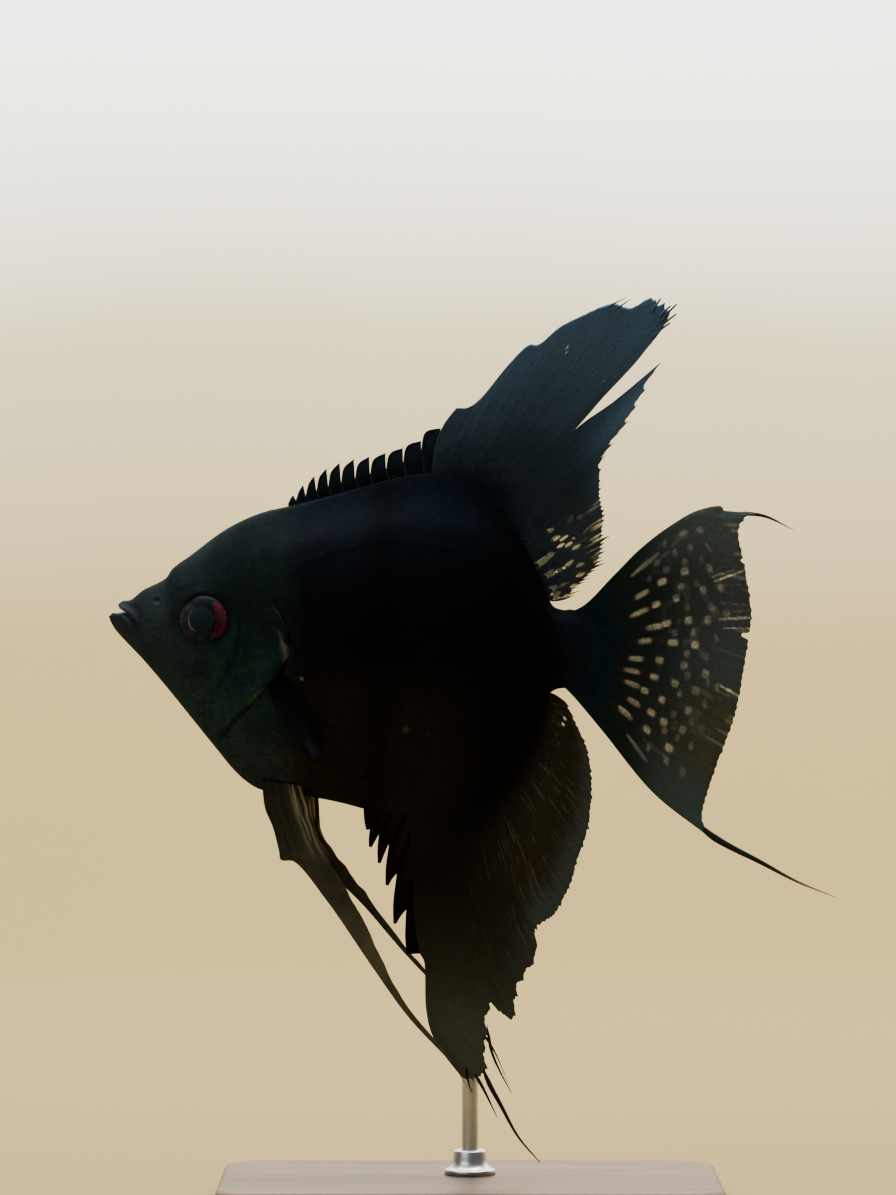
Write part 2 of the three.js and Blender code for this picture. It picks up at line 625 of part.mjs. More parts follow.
const dorsalSoft = medianFin(DORSAL_FRONT_LOBE).add(medianFin(DORSAL_REAR_LOBE));
const analSoft = ANAL_THREADS.reduce((fin, path) => fin.add(thread(path, inMiddle, [1, 0.5])), medianFin(ANAL_SOFT));
const caudal = CAUDAL_THREADS.reduce(
  (fin, { path, thickness }) => fin.add(thread(path, inMiddle, thickness)), medianFin(CAUDAL),
);
add(fish, "dorsal_fin_spiny", dorsalSpines().subtract(bodyAndGap).subtract(behind(DORSAL_FRONT_LOBE)), FINISH.fin);
add(fish, "dorsal_fin_soft", dorsalSoft.subtract(bodyAndGap), FINISH.fin);
add(fish, "anal_fin_spiny", analSpines().subtract(bodyAndGap).subtract(behind(ANAL_SOFT)), FINISH.fin);
add(fish, "anal_fin_soft", analSoft.subtract(bodyAndGap), FINISH.fin);
add(fish, "caudal_fin", caudal.subtract(bodyAndGap), FINISH.fin);
add(fish, "pelvic_fin_left", pelvicFin(PELVIC_LEFT).subtract(bodyAndGap), FINISH.fin);
add(fish, "pelvic_fin_right", pelvicFin(PELVIC_RIGHT).subtract(bodyAndGap), FINISH.fin);

add(part, "stand_base", standBase(), FINISH.board);
add(part, "stand_collar", standCollar(), FINISH.metal);
add(fish, "stand_rod", rodSolid(0), FINISH.metal);

export default part;
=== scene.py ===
"""A black freshwater angelfish, life size, on a plain display stand.

Outlines are drawn in millimetres as [x, v], where v is the height above the fish's long axis, as in
the CAD source, and become metres in the frame when a mesh is made. -y is the left flank.
"""

import math

import bpy
import numpy as np
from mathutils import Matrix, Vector


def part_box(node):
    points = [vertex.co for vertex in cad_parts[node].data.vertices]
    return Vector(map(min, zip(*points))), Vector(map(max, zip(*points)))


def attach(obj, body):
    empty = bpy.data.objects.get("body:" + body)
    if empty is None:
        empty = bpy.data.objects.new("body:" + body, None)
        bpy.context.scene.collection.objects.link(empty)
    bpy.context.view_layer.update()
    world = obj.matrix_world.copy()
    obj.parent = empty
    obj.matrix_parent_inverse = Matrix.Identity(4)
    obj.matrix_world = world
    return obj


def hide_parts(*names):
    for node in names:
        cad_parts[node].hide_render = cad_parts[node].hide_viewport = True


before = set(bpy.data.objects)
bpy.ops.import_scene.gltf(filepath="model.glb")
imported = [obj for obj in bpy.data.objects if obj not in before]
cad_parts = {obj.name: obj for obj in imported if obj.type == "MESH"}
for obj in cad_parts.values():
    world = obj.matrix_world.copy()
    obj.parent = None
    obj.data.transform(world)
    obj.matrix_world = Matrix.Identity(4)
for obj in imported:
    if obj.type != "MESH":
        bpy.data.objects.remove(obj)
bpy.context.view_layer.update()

MM = 0.001
SEED = 7
SIDES = {"left": -1, "right": 1}  # the sign of y on each flank


def middle(node):
    low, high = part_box(node)
    return (low + high) / 2


LEFT_EYE = middle("eye_left") / MM
EYE_V = 0.2  # the eye's height above the long axis
AXIS = LEFT_EYE.z - EYE_V  # the long axis above the floor
EYE_X = LEFT_EYE.x + 0.4  # the eye sits a little behind the solid's middle

# ---- curves ----------------------------------------------------------------------------------------


def mix(a, b, share):
    return a + (b - a) * share


def ease(low, high, value):
    """0 below low, 1 above high, smooth between; low may be the larger one."""
    u = np.clip((np.asarray(value, float) - low) / (high - low), 0, 1)
    return u * u * (3 - 2 * u)


def bump(distance, width):
    """1 at no distance, falling off smoothly over the width."""
    return np.exp(-((distance / width) ** 2))


def away(x, v, centre, width=1.0, height=1.0):
    """Distance from a centre, counted in widths along x and in heights along v."""
    return np.hypot((x - centre[0]) / width, (v - centre[1]) / height)


def unit(vectors):
    return vectors / np.linalg.norm(vectors, axis=-1, keepdims=True)


def through(pairs):
    """A smooth function of x through the [x, value] pairs."""
    px, py = np.array(pairs, float).T
    last = len(px) - 1
    low = np.maximum(np.arange(last + 1) - 1, 0)
    high = np.minimum(np.arange(last + 1) + 1, last)
    slope = (py[high] - py[low]) / (px[high] - px[low])

    def value(x):
        x = np.asarray(x, float)
        i = np.clip(np.searchsorted(px, x, side="right") - 1, 0, last - 1)
        span = px[i + 1] - px[i]
        u = np.clip((x - px[i]) / span, 0, 1)
        rise = u * u * (3 - 2 * u)
        leave = u * (1 - u) ** 2 * span * slope[i]
        arrive = u * u * (u - 1) * span * slope[i + 1]
        return py[i] + (py[i + 1] - py[i]) * rise + leave + arrive

    return value


def along(points):
    """A centripetal Catmull-Rom curve through [x, v] points, as a function of the share of its length."""
    p = np.array(points, float)
    p = np.vstack([2 * p[0] - p[1], p, 2 * p[-1] - p[-2]])
    u = np.linspace(0, 1, 40, endpoint=False)[:, None]
    parts = []
    for p0, p1, p2, p3 in zip(p, p[1:], p[2:], p[3:]):
        steps = ((p0, p1), (p1, p2), (p2, p3))
        d0, d1, d2 = (max(np.linalg.norm(b - a), 1e-9) ** 0.5 for a, b in steps)
        leave = ((p1 - p0) / d0 - (p2 - p0) / (d0 + d1) + (p2 - p1) / d1) * d1
        arrive = ((p2 - p1) / d1 - (p3 - p1) / (d1 + d2) + (p3 - p2) / d2) * d1
        parts.append(p1 + leave * u + (3 * (p2 - p1) - 2 * leave - arrive) * u**2
                     + (2 * (p1 - p2) + leave + arrive) * u**3)
    curve = np.vstack(parts + [p[-2:-1]])
    length = np.concatenate([[0], np.cumsum(np.linalg.norm(np.diff(curve, axis=0), axis=1))])
    length /= length[-1]

    def value(share):
        share = np.asarray(share, float)
        return np.stack([np.interp(share, length, curve[:, k]) for k in (0, 1)], axis=-1)

    return value


def to_curve(points, x, v, samples=90):
    """Distance of (x, v) from a curve, the share along it, and the side: above 0 to the right of it."""
    line = along(points)(np.linspace(0, 1, samples))
    shape = np.shape(x)
    x, v = np.ravel(x), np.ravel(v)
    best = np.full(x.shape, 1e9)
    share = np.zeros(x.shape)
    side = np.zeros(x.shape)
    for i, (a, b) in enumerate(zip(line, line[1:])):
        d = b - a
        k = np.clip(((x - a[0]) * d[0] + (v - a[1]) * d[1]) / (d @ d), 0, 1)
        dx, dv = x - a[0] - k * d[0], v - a[1] - k * d[1]
        r = np.hypot(dx, dv)
        near = r < best
        best[near] = r[near]
        share[near] = ((i + k) / (samples - 1))[near]
        side[near] = np.sign(dx * d[1] - dv * d[0])[near]
    return best.reshape(shape), share.reshape(shape), side.reshape(shape)


def past_edge(points, x, v):
    """Distance behind a curve that runs down the flank, below 0 in front of it, and the share along it."""
    gap, share, side = to_curve(points, x, v)
    return np.where(side < 0, gap, -gap), share


LATTICE = 64  # cells of noise before it repeats


def noise(x, v, size, seed):
    """Smooth value noise between 0 and 1 on a lattice with cells of the given size."""
    table = np.random.default_rng(SEED + seed).random((LATTICE, LATTICE))
    gx, gv = np.asarray(x) / size, np.asarray(v) / size
    ix, iv = np.floor(gx).astype(int), np.floor(gv).astype(int)
    fx, fv = ease(0, 1, gx - ix), ease(0, 1, gv - iv)
    pick = lambda i, j: table[(ix + i) % LATTICE, (iv + j) % LATTICE]
    return mix(mix(pick(0, 0), pick(1, 0), fx), mix(pick(0, 1), pick(1, 1), fx), fv)


def cloud(x, v, size, seed):
    """Noise of three sizes laid over one another, between 0 and 1."""
    return (noise(x, v, size, seed) * 4 + noise(x, v, size / 2.1, seed + 1) * 2
            + noise(x, v, size / 4.3, seed + 2)) / 7


# ---- meshes ----------------------------------------------------------------------------------------


def make_mesh(name, points, faces, material, maps=None, colours=None, values=None, flat_end=False):
    """A smooth-shaded object from points in millimetres and groups of faces of three or more corners.

    maps are UV maps, and colours and values are attributes: each has one entry for each point. With
    flat_end the edges of the last group of faces stay sharp.
    """
    points = np.asarray(points, float).reshape(-1, 3)
    metres = points * MM + np.array([0, 0, AXIS * MM])
    faces = [np.asarray(f, int) for f in faces if len(f)]
    corners = np.concatenate([f.ravel() for f in faces])
    sizes = np.concatenate([np.full(len(f), f.shape[1]) for f in faces])
    mesh = bpy.data.meshes.new(name)
    mesh.vertices.add(len(points))
    mesh.vertices.foreach_set("co", metres.ravel())
    mesh.loops.add(len(corners))
    mesh.loops.foreach_set("vertex_index", corners)
    mesh.polygons.add(len(sizes))
    mesh.polygons.foreach_set("loop_start", np.concatenate([[0], np.cumsum(sizes)[:-1]]))
    mesh.polygons.foreach_set("use_smooth", np.ones(len(sizes), bool))
    for key, uv in (maps or {}).items():
        layer = mesh.uv_layers.new(name=key)
        layer.data.foreach_set("uv", np.asarray(uv, float).reshape(-1, 2)[corners].ravel())
    for key, rgb in (colours or {}).items():
        rgb = np.asarray(rgb, float).reshape(-1, 3)
        attribute = mesh.color_attributes.new(key, "FLOAT_COLOR", "POINT")
        attribute.data.foreach_set("color", np.hstack([rgb, np.ones((len(rgb), 1))]).ravel())
    for key, value in (values or {}).items():
        attribute = mesh.attributes.new(key, "FLOAT", "POINT")
        attribute.data.foreach_set("value", np.asarray(value, float).ravel())
    mesh.update()
    mesh.validate()
    if flat_end:
        edge = np.empty(len(corners), np.int32)
        mesh.loops.foreach_get("edge_index", edge)
        sharp = np.zeros(len(mesh.edges), bool)
        sharp[edge[-faces[-1].size:]] = True
        mesh.edges.foreach_set("use_edge_sharp", sharp)
    mesh.materials.append(material)
    thing = bpy.data.objects.new(name, mesh)
    bpy.context.scene.collection.objects.link(thing)
    return thing


def piece(thing, slot, *nodes):
    """Fixes a finished object to the model, in place of its CAD nodes. slot is not used."""
    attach(thing, "root")
    if nodes:
        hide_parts(*nodes)


def quads(rows, columns, start=0, closed=False, flip=False):
    """Faces of a grid of rows by columns points; closed joins the last column to the first."""
    across = columns if closed else columns - 1
    j, i = np.meshgrid(np.arange(rows - 1), np.arange(across), indexing="ij")
    a = start + j * columns + i
    b = start + j * columns + (i + 1) % columns
    faces = np.stack([a, b, b + columns, a + columns], axis=-1).reshape(-1, 4)
    return faces[:, ::-1] if flip else faces


def outward(points, faces):
    """The same closed faces, turned so that they point out and the volume in them is above 0."""
    triangles = np.vstack([f[:, [0, k, k + 1]] for f in faces for k in range(1, f.shape[1] - 1)])
    a, b, c = (points[triangles[:, k]] for k in range(3))
    volume = np.einsum("ij,ij->i", a, np.cross(b, c)).sum()
    return [f[:, ::-1] for f in faces] if volume < 0 else faces


def border(rows, columns):
    """Indices of the rim of a grid of points, in order round it."""
    n = np.arange(rows * columns).reshape(rows, columns)
    return np.concatenate([n[0, :-1], n[:-1, -1], n[-1, :0:-1], n[:0:-1, 0]])


def loft(rings):
    """A closed body through rows of rings of [x, y, v] points, capped at both ends."""
    rows, columns = rings.shape[:2]
    points = rings.reshape(-1, 3)
    ends = [np.arange(columns)[None, ::-1], (np.arange(columns) + (rows - 1) * columns)[None]]
    return points, outward(points, [quads(rows, columns, closed=True)] + ends)


class Bag:
    """Closed bodies gathered into one mesh, with their attributes."""

    def __init__(self):
        self.points, self.faces, self.extras, self.count = [], [], {}, 0

    def add(self, points, faces, **extras):
        """Adds one body. Each attribute has an entry for each point, or one entry for them all."""
        self.faces += [f + self.count for f in outward(points, faces)]
        self.points.append(points)
        for key, value in extras.items():
            value = np.asarray(value, float)
            one = value.size <= 3
            value = np.tile(value.ravel(), (len(points), 1)) if one else value.reshape(len(points), -1)
            self.extras.setdefault(key, []).append(value)
        self.count += len(points)

    def build(self, name, material):
        extras = {key: np.vstack(value) for key, value in self.extras.items()}
        maps, colours, values = ({key: value for key, value in extras.items() if value.shape[1] == width}
                                 for width in (2, 3, 1))
        return make_mesh(name, np.vstack(self.points), self.faces, material, maps, colours, values)


def tube(line, radii, sides=10, flat=1.0):
    """A tapered tube with pointed ends along [x, v] points in the middle plane. flat squeezes it sideways."""
    TIP = 0.6  # how far each point stands out, in end radii
    path = np.column_stack([line[:, 0], np.zeros(len(line)), line[:, 1]])
    ahead = unit(np.gradient(path, axis=0))
    side = unit(np.cross(ahead, [0, 1, 0]))
    other = np.cross(ahead, side)
    turn = np.linspace(0, 2 * np.pi, sides, endpoint=False)[None, :, None]
    rings = path[:, None] + radii[:, None, None] * (np.cos(turn) * side[:, None]
                                                    + flat * np.sin(turn) * other[:, None])
    n = len(path)
    tips = np.array([path[0] - ahead[0] * radii[0] * TIP, path[-1] + ahead[-1] * radii[-1] * TIP])
    points = np.vstack([rings.reshape(-1, 3), tips])
    body = quads(n, sides, closed=True)
    i = np.arange(sides)
    j = (i + 1) % sides
    first = np.stack([np.full(sides, n * sides), j, i], axis=1)
    end = (n - 1) * sides
    last = np.stack([np.full(sides, n * sides + 1), end + i, end + j], axis=1)
    return points, [body, np.vstack([first, last])]


# ---- materials -------------------------------------------------------------------------------------


class Shader:
    """A material built of nodes. Sockets are named with underscores for spaces."""

    def __init__(self, name, **inputs):
        self.material = bpy.data.materials.new(name)
        self.material.use_nodes = True
        self.tree = self.material.node_tree
        self.tree.nodes.clear()
        self.surface = self.node("ShaderNodeBsdfPrincipled", **inputs)
        self.node("ShaderNodeOutputMaterial", Surface=self.surface.outputs["BSDF"])

    def node(self, kind, settings=None, **inputs):
        node = self.tree.nodes.new(kind)
        for key, value in (settings or {}).items():
            setattr(node, key, value)
        self.fill(node, inputs)
        return node

    def fill(self, node, inputs):
        for key, value in inputs.items():
            self.put(node.inputs[key.replace("_", " ")], value)

    def put(self, socket, value):
        """Links another node's output to a socket, or gives it a fixed value."""
        if isinstance(value, bpy.types.NodeSocket):
            self.tree.links.new(value, socket)
        else:
            socket.default_value = value

    def set(self, **inputs):
        self.fill(self.surface, inputs)

    def sums(self, operation, a, b=0.0, c=0.0):
        """The result of a Math node."""
        node = self.node("ShaderNodeMath", {"operation": operation})
        for socket, value in zip(node.inputs, (a, b, c)):
            self.put(socket, value)
        return node.outputs[0]

    def place(self, stretch=(1, 1, 1), uv=None):
        """Where a point lies: in metres on the object, or on a UV map."""
        if uv:
            start = self.node("ShaderNodeUVMap", {"uv_map": uv}).outputs[0]
        else:
            start = self.node("ShaderNodeTexCoord").outputs["Object"]
        return self.node("ShaderNodeMapping", Vector=start, Scale=stretch).outputs[0]

    def noise(self, scale, detail=3.0, stretch=(1, 1, 1), uv=None, distortion=0.0):
        """Noise with scale features to the metre, or to the unit of a UV map."""
        return self.node("ShaderNodeTexNoise", Vector=self.place(stretch, uv), Scale=scale, Detail=detail,
                         Distortion=distortion).outputs["Fac"]

    def attribute(self, name):
        return self.node("ShaderNodeAttribute", {"attribute_name": name})

    def blend(self, a, b, share, kind="MIX"):
        """Two colours in one. The Mix node's colour sockets share their names, so they go by number."""
        SHARE, A, B, RESULT = 0, 6, 7, 2
        node = self.node("ShaderNodeMix", {"data_type": "RGBA", "blend_type": kind})
        for index, value in ((SHARE, share), (A, a), (B, b)):
            self.put(node.inputs[index], value)
        return node.outputs[RESULT]

    def scaled(self, value, low, high):
        """Spreads a 0..1 value over low..high."""
        return self.sums("MULTIPLY_ADD", value, high - low, low)

    def tinted(self, depth):
        """The mesh's own tint, made lighter and darker by depth."""
        grey = self.node("ShaderNodeCombineColor")
        for socket in grey.inputs:
            self.put(socket, depth)
        return self.blend(self.attribute("tint").outputs["Color"], grey.outputs[0], 1.0, "MULTIPLY")

    def ramp(self, value, *stops):
        """Colours at places along a value."""
        node = self.node("ShaderNodeValToRGB", Fac=value)
        elements = node.color_ramp.elements
        while len(elements) < len(stops):
            elements.new(0.5)
        for element, (place, colour) in zip(elements, stops):
            element.position = place
            element.color = (*colour, 1)
        return node.outputs[0]

    def relief(self, height, depth):
        """Bumps of that depth, in millimetres."""
        node = self.node("ShaderNodeBump", Height=height, Distance=depth * MM, Strength=1.0)
        self.set(Normal=node.outputs[0])


def skin_material(name, grain):
    """Wet black skin: its colours are the tint attribute, broken up by noise, with grain of that depth."""
    m = Shader(name, Specular_IOR_Level=0.1, IOR=1.4)
    fine = m.noise(1500, 4)
    patchy = m.noise(330, 3, stretch=(1, 1, 0.6))
    depth = m.sums("MULTIPLY", m.scaled(fine, 0.6, 1.4), m.scaled(patchy, 0.6, 1.4))
    m.set(Base_Color=m.tinted(depth))
    m.set(Roughness=m.scaled(m.noise(900, 2), 0.5, 0.7))
    m.relief(m.sums("ADD", fine, m.noise(4200, 2)), grain)
    return m.material


def fin_material():
    """A fin: dark skin over rays, with see-through windows and fine joints along the rays."""
    m = Shader("fin_skin", Specular_IOR_Level=0.1, IOR=1.4)
    streaks = m.noise(1.0, 4, stretch=(9, 1.6, 1), uv="FinUV", distortion=0.2)
    fine = m.noise(1800, 3)
    depth = m.sums("MULTIPLY", m.scaled(streaks, 0.9, 1.1), m.scaled(fine, 0.75, 1.25))
    m.set(Base_Color=m.tinted(depth))
    m.set(Roughness=m.scaled(fine, 0.46, 0.66))
    clear = m.attribute("clear").outputs["Fac"]
    grainy = m.sums("MULTIPLY", clear, m.scaled(m.noise(6000, 2), 0.3, 1.7))
    m.set(Alpha=m.sums("SUBTRACT", 1.0, m.sums("MINIMUM", grainy, 0.97)))
    joints = m.node("ShaderNodeTexWave", {"wave_type": "BANDS", "bands_direction": "Y"},
                    Vector=m.place(uv="FinUV"), Scale=14.0, Distortion=1.5, Detail=1.0).outputs["Fac"]
    m.relief(m.sums("ADD", joints, streaks), 0.02)
    return m.material


def eye_material():
    """The wet eye: fine fibres over the tint of the iris and lens."""
    m = Shader("eye_wet", Specular_IOR_Level=0.06, IOR=1.38)
    fibres = m.noise(2600, 4)
    m.set(Base_Color=m.tinted(m.scaled(fibres, 0.5, 1.5)))
    m.set(Roughness=m.scaled(fibres, 0.3, 0.5))
    m.relief(fibres, 0.01)
    return m.material


def wood_material():
    """Dark walnut with the grain along the board and a satin oil finish."""
    m = Shader("stand_walnut", Specular_IOR_Level=0.4)
    bands = m.noise(26, 4, stretch=(0.7, 9, 9), distortion=0.7)
    pores = m.noise(210, 3, stretch=(0.5, 14, 14))
    tone = m.sums("MULTIPLY_ADD", bands, 0.75, m.sums("MULTIPLY", pores, 0.35))
    m.set(Base_Color=m.ramp(tone, (0.32, (0.028, 0.014, 0.008)), (0.78, (0.15, 0.082, 0.045))))
    m.set(Roughness=m.scaled(pores, 0.34, 0.56))
    m.relief(pores, 0.05)
    return m.material


def steel_material():
    """Satin steel, turned: fine rings round the rod."""
    m = Shader("stand_steel", Metallic=1.0)
    rings = m.noise(1200, 3, stretch=(0.15, 0.15, 6))
    dull = m.noise(160, 3)
    m.set(Base_Color=m.blend((0.46, 0.46, 0.45, 1), (0.6, 0.6, 0.59, 1), dull))
    m.set(Roughness=m.scaled(rings, 0.28, 0.46))
    m.relief(rings, 0.012)
    return m.material


# ---- the body's form -------------------------------------------------------------------------------

BODY_HALF_WIDTH = 7.4
COAT = 0.22  # how far the skin lies inside the flesh solids, under the scales
CAD_RING = 22
WITHIN = math.cos(math.pi / CAD_RING)  # the solids' flat facets lie this far within the smooth form
EDGE = 0.28  # half the body's thickness along the back and belly, where the fins stand

back = through([
    [-65, 0.9], [-64.3, 1.7], [-63.5, 2.9], [-62.6, 3.7], [-61, 4], [-58.9, 5.7], [-54.8, 7.9],
    [-53.5, 9.7], [-50.3, 12.1], [-44, 16.8], [-38, 19.7], [-32.4, 21.1], [-23.4, 23.5], [-15.3, 25.8],
    [-9, 27], [-3.6, 26.6], [1.8, 24], [6.3, 19.4], [10, 13.6], [12.6, 8], [14.7, 3.2], [16.6, 2.2],
    [18.6, 2.2], [20.6, 0.6], [21.6, -2.4], [22, -5],
])
belly = through([
    [-65, 0.7], [-64.5, -0.6], [-63.6, -2], [-62, -3.8], [-58.8, -7.2], [-54.4, -12.4], [-50.8, -16.9],
    [-46, -22.9], [-42.4, -27.3], [-39.4, -29.9], [-37, -30.9], [-30.6, -31.7], [-23.4, -33.1],
    [-18, -34.5], [-12, -35.5], [-6, -34.8], [0, -31.4], [5, -26.6], [9.4, -20.6], [12.6, -15.4],
    [14.9, -12.8], [17, -12.3], [18.9, -12.3], [20.6, -10.6], [21.6, -7.8], [22, -5.4],
])
width_share = through([
    [-65, 0.1], [-63.8, 0.22], [-61.5, 0.32], [-58, 0.42], [-53, 0.56], [-48, 0.68], [-42, 0.82],
    [-36, 0.93], [-29, 1], [-20, 0.99], [-11, 0.93], [-3, 0.83], [5, 0.68], [11, 0.52], [16, 0.38],
    [20, 0.28], [22, 0.19],
])
waist = through([
    [-65, 0.8], [-61, -0.5], [-54, -2.5], [-45, -4], [-30, -6], [-10, -7], [8, -6], [22, -5.2],
])
lens = through([[-65, 1], [-56, 1.15], [-44, 1.3], [-30, 1.5], [-12, 1.7], [6, 1.6], [16, 1.2], [22, 1.1]])

MOUTH_LINE = [[-64.5, 1.73], [-62.6, 1.5], [-60.9, 0.15], [-59.4, -1.9]]
GILL_EDGE = [
    [-36.2, 3.6], [-33.9, 0.8], [-32.5, -2.8], [-32.6, -5.6], [-34.2, -9.3], [-36.9, -12.4],
    [-39.8, -15.2], [-43.2, -18.8], [-46.4, -22.6],
]
CHEEK_EDGE = [[-41.6, 3.4], [-41.4, -2], [-42.6, -7.6], [-45.6, -12.2], [-49.8, -15.2]]
LOW_FORMS = [  # line, height, half width, and the shares along it where it is full and where it fades
    ([[-59.2, -1.2], [-58.5, -3.8], [-57.6, -6.2], [-56, -9.4]], -0.12, 0.36, 0.2, 0.75),  # the jaw's fold
    ([[-60.8, 3.3], [-59.4, 1.4], [-58.9, -1.6]], -0.12, 0.3, 0.2, 0.75),  # behind the upper jaw
    ([[-54.4, 7.2], [-52.6, 5.4], [-50.9, 5.2]], -0.05, 0.4, 0.2, 0.75),  # above the eye
    ([[-55.5, 1.8], [-52.5, 5.6], [-47.6, 7.2], [-43.2, 5.2]], 0.08, 1.2, 0.25, 0.75),  # the brow
    ([[-56.6, -2.2], [-53, -6.4], [-48, -7.2], [-43.6, -5]], 0.07, 0.9, 0.2, 0.8),  # below the eye
    ([[-33.5, 9], [-24, 12.5], [-12, 14.6], [-2, 12.2], [3, 8.5]], 0.05, 0.5, 0.1, 0.9),  # the lateral line
]
PORES = [  # x, v, radius
    (-56.2, 3.6, 0.42), (-57.6, -2.9, 0.3), (-54.6, -5.6, 0.22), (-51.8, -8.4, 0.22), (-53.6, -10.6, 0.2),
    (-56.2, -7.3, 0.2), (-51.4, 8.2, 0.2), (-55.9, 5.6, 0.18),
]
SHOULDER = (-35.6, -9)  # where a breast fin grows

RING = 432  # points round each cross-section


def stations():
    """x of each cross-section: close on the head, where the small forms are, wider on the trunk."""
    steps = [(-65.0, -59, 0.17), (-59, -31.5, 0.23), (-31.5, 13, 0.85), (13, 21.8, 0.45)]
    return np.concatenate([np.arange(a, b, step) for a, b, step in steps] + [[22.0]])


def ring_turns():
    """Turn of each point from the back, down the right flank and up the left, nearly even in height."""
    share = np.arange(RING // 2 + 1) / (RING // 2)
    half = np.arccos(mix(np.cos(np.pi * share), 1 - 2 * share, 0.7))
    return np.concatenate([half[:-1], 2 * np.pi - half[:0:-1]])


def bare_form(x, turn):
    """The smooth body without its small forms, drawn in by the depth of the coat. It draws out thin into
    the feet of the fins along its edges and at the tail."""
    TAIL_WIDTH = 0.42  # share of its width that the stalk keeps at the tail fin
    DRAWN_FROM, DRAWN_IN = 0.68, 0.4  # the trunk draws in from this share of its height, by this much
    level = waist(x)
    width = (BODY_HALF_WIDTH * width_share(x) - COAT) * mix(1, TAIL_WIDTH, ease(15, 22, x))
    edge = np.minimum(EDGE, 0.4 * width)
    rise = np.cos(turn) * WITHIN
    height = np.where(rise > 0, back(x) - COAT * 0.6 - level, level - belly(x) - COAT * 0.6)
    across = np.abs(np.sin(turn))
    bulge = across ** lens(x) * (1 - DRAWN_IN * ease(DRAWN_FROM, 1, np.abs(rise)) * ease(-46, -28, x))
    y = np.sign(np.sin(turn)) * mix(edge, width, bulge) * np.minimum(1, across * 9 + 0.12)
    return np.stack([x + 0 * turn, y, level + rise * np.maximum(height, 0.02)], axis=-1)


EYE_RADIUS = 4.6
EYE_DEPTH = 2.5  # how far the ball bulges from its middle plane
EYE_LEAN = 0.17  # the eye faces a little forwards, as the cheek does
EYE_LEVEL = abs(LEFT_EYE.y)
EYE_OPEN = 4.42  # radius of the opening in the skin


def eye_front(r):
    """Height of the eyeball's surface above its middle plane."""
    return EYE_DEPTH * np.sqrt(np.clip(1 - (r / EYE_RADIUS) ** 2.6, 0, 1))


def orbit(x, y, v):
    """How far the flank moves sideways round the eye: down to the ball's edge, with a soft rim."""
    STARTS, FULL = 6.5, 4.5  # radii between which the flank moves over
    RIM_RADIUS, RIM_WIDTH, RIM_HEIGHT = 5.0, 0.35, 0.05
    INWARDS = 1.4  # slope of the skin under the ball
    r = away(x, v, (EYE_X, EYE_V))
    level = EYE_LEVEL + EYE_LEAN * (x - EYE_X) + eye_front(EYE_OPEN) - 0.02
    moved = (level - y) * ease(STARTS, FULL, r) - np.maximum(EYE_OPEN - r, 0) * INWARDS
    return moved + RIM_HEIGHT * bump(r - RIM_RADIUS, RIM_WIDTH)


def small_forms(x, v):
    """The low forms of the head and flank, outwards in millimetres."""
    # the lips, the furrow round them and the slit between them
    mouth, share, _ = to_curve(MOUTH_LINE, x, v)
    lips = ease(1.0, 0.75, share) * ease(-58.2, -60.2, x)
    d = lips * (0.16 * bump(mouth - 0.75, 0.42) - 0.1 * bump(mouth - 1.75, 0.4))
    d -= 0.22 * bump(mouth, 0.2) * ease(-58.9, -59.8, x)
    for line, height, width, full, fading in LOW_FORMS:
        gap, share, _ = to_curve(line, x, v)
        d += height * bump(gap, width) * ease(0, full, share) * ease(1, fading, share)
    # the gill cover rises to its free edge, and the body dips behind it
    past, share = past_edge(GILL_EDGE, x, v)
    free = ease(0, 0.12, share) * ease(1.0, 0.88, share)
    d += free * (0.34 * ease(-3, -0.4, past) * ease(0.3, -0.12, past)
                 - 0.34 * ease(-0.05, 0.35, past) * ease(3.2, 0.5, past))
    # the cheek's edge and the groove behind it
    past, share = past_edge(CHEEK_EDGE, x, v)
    ends = ease(0, 0.18, share) * ease(1.0, 0.85, share)
    d += ends * (0.14 * bump(past + 0.7, 0.7) - 0.2 * bump(past - 0.3, 0.45))
    for px, pv, radius in PORES:
        r = away(x, v, (px, pv))
        d += 0.1 * radius * bump(r - radius * 1.9, radius * 0.6) - 0.6 * radius * bump(r, radius * 0.9)
    return d + 0.4 * bump(away(x, v, SHOULDER, 1.1, 2.6), 0.9)  # with a mound under the breast fin


class Skin:
    """The one skin of the body as a grid of points and normals over stations and ring."""

    def __init__(self):
        self.x = stations()
        self.turn = ring_turns()
        grid = bare_form(self.x[:, None], self.turn[None])
        x, y, v = (grid[..., k] for k in range(3))
        side = np.where(self.turn < np.pi, 1, -1)[None]
        across = abs(y)
        low = small_forms(x, v) * ease(0.3, 1.2, across)  # nothing moves at the back and belly lines
        grid[..., 1] += side * (low + orbit(x, across, v) * ease(0.5, 1.5, across))
        self.points = grid
        self.normals = self.find_normals()

    def find_normals(self):
        """The way out of the skin at each point."""
        dx = np.gradient(self.points, axis=0)
        ring = np.roll(self.points, -1, axis=1) - np.roll(self.points, 1, axis=1)
        n = np.cross(ring, dx)
        n /= np.linalg.norm(n, axis=-1)[..., None] + 1e-12
        out = np.sign((n[..., 1] * np.sign(np.sin(self.turn + 1e-9))[None]).mean())
        return n * out

    def sample(self, field, x, j):
        """field at any x and ring place j, between the grid's points."""
        i = np.interp(x, self.x, np.arange(len(self.x)))
        i0 = np.clip(np.floor(i).astype(int), 0, len(self.x) - 2)
        j0 = np.floor(j).astype(int)
        fi, fj = (i - i0)[..., None], (j - j0)[..., None]
        at = lambda a, b: field[i0 + a, (j0 + b) % RING]
        return mix(mix(at(0, 0), at(1, 0), fi), mix(at(0, 1), at(1, 1), fi), fj)


# ---- markings, the same for skin and coat ----------------------------------------------------------


def rgb(*values):
    return np.array(values)


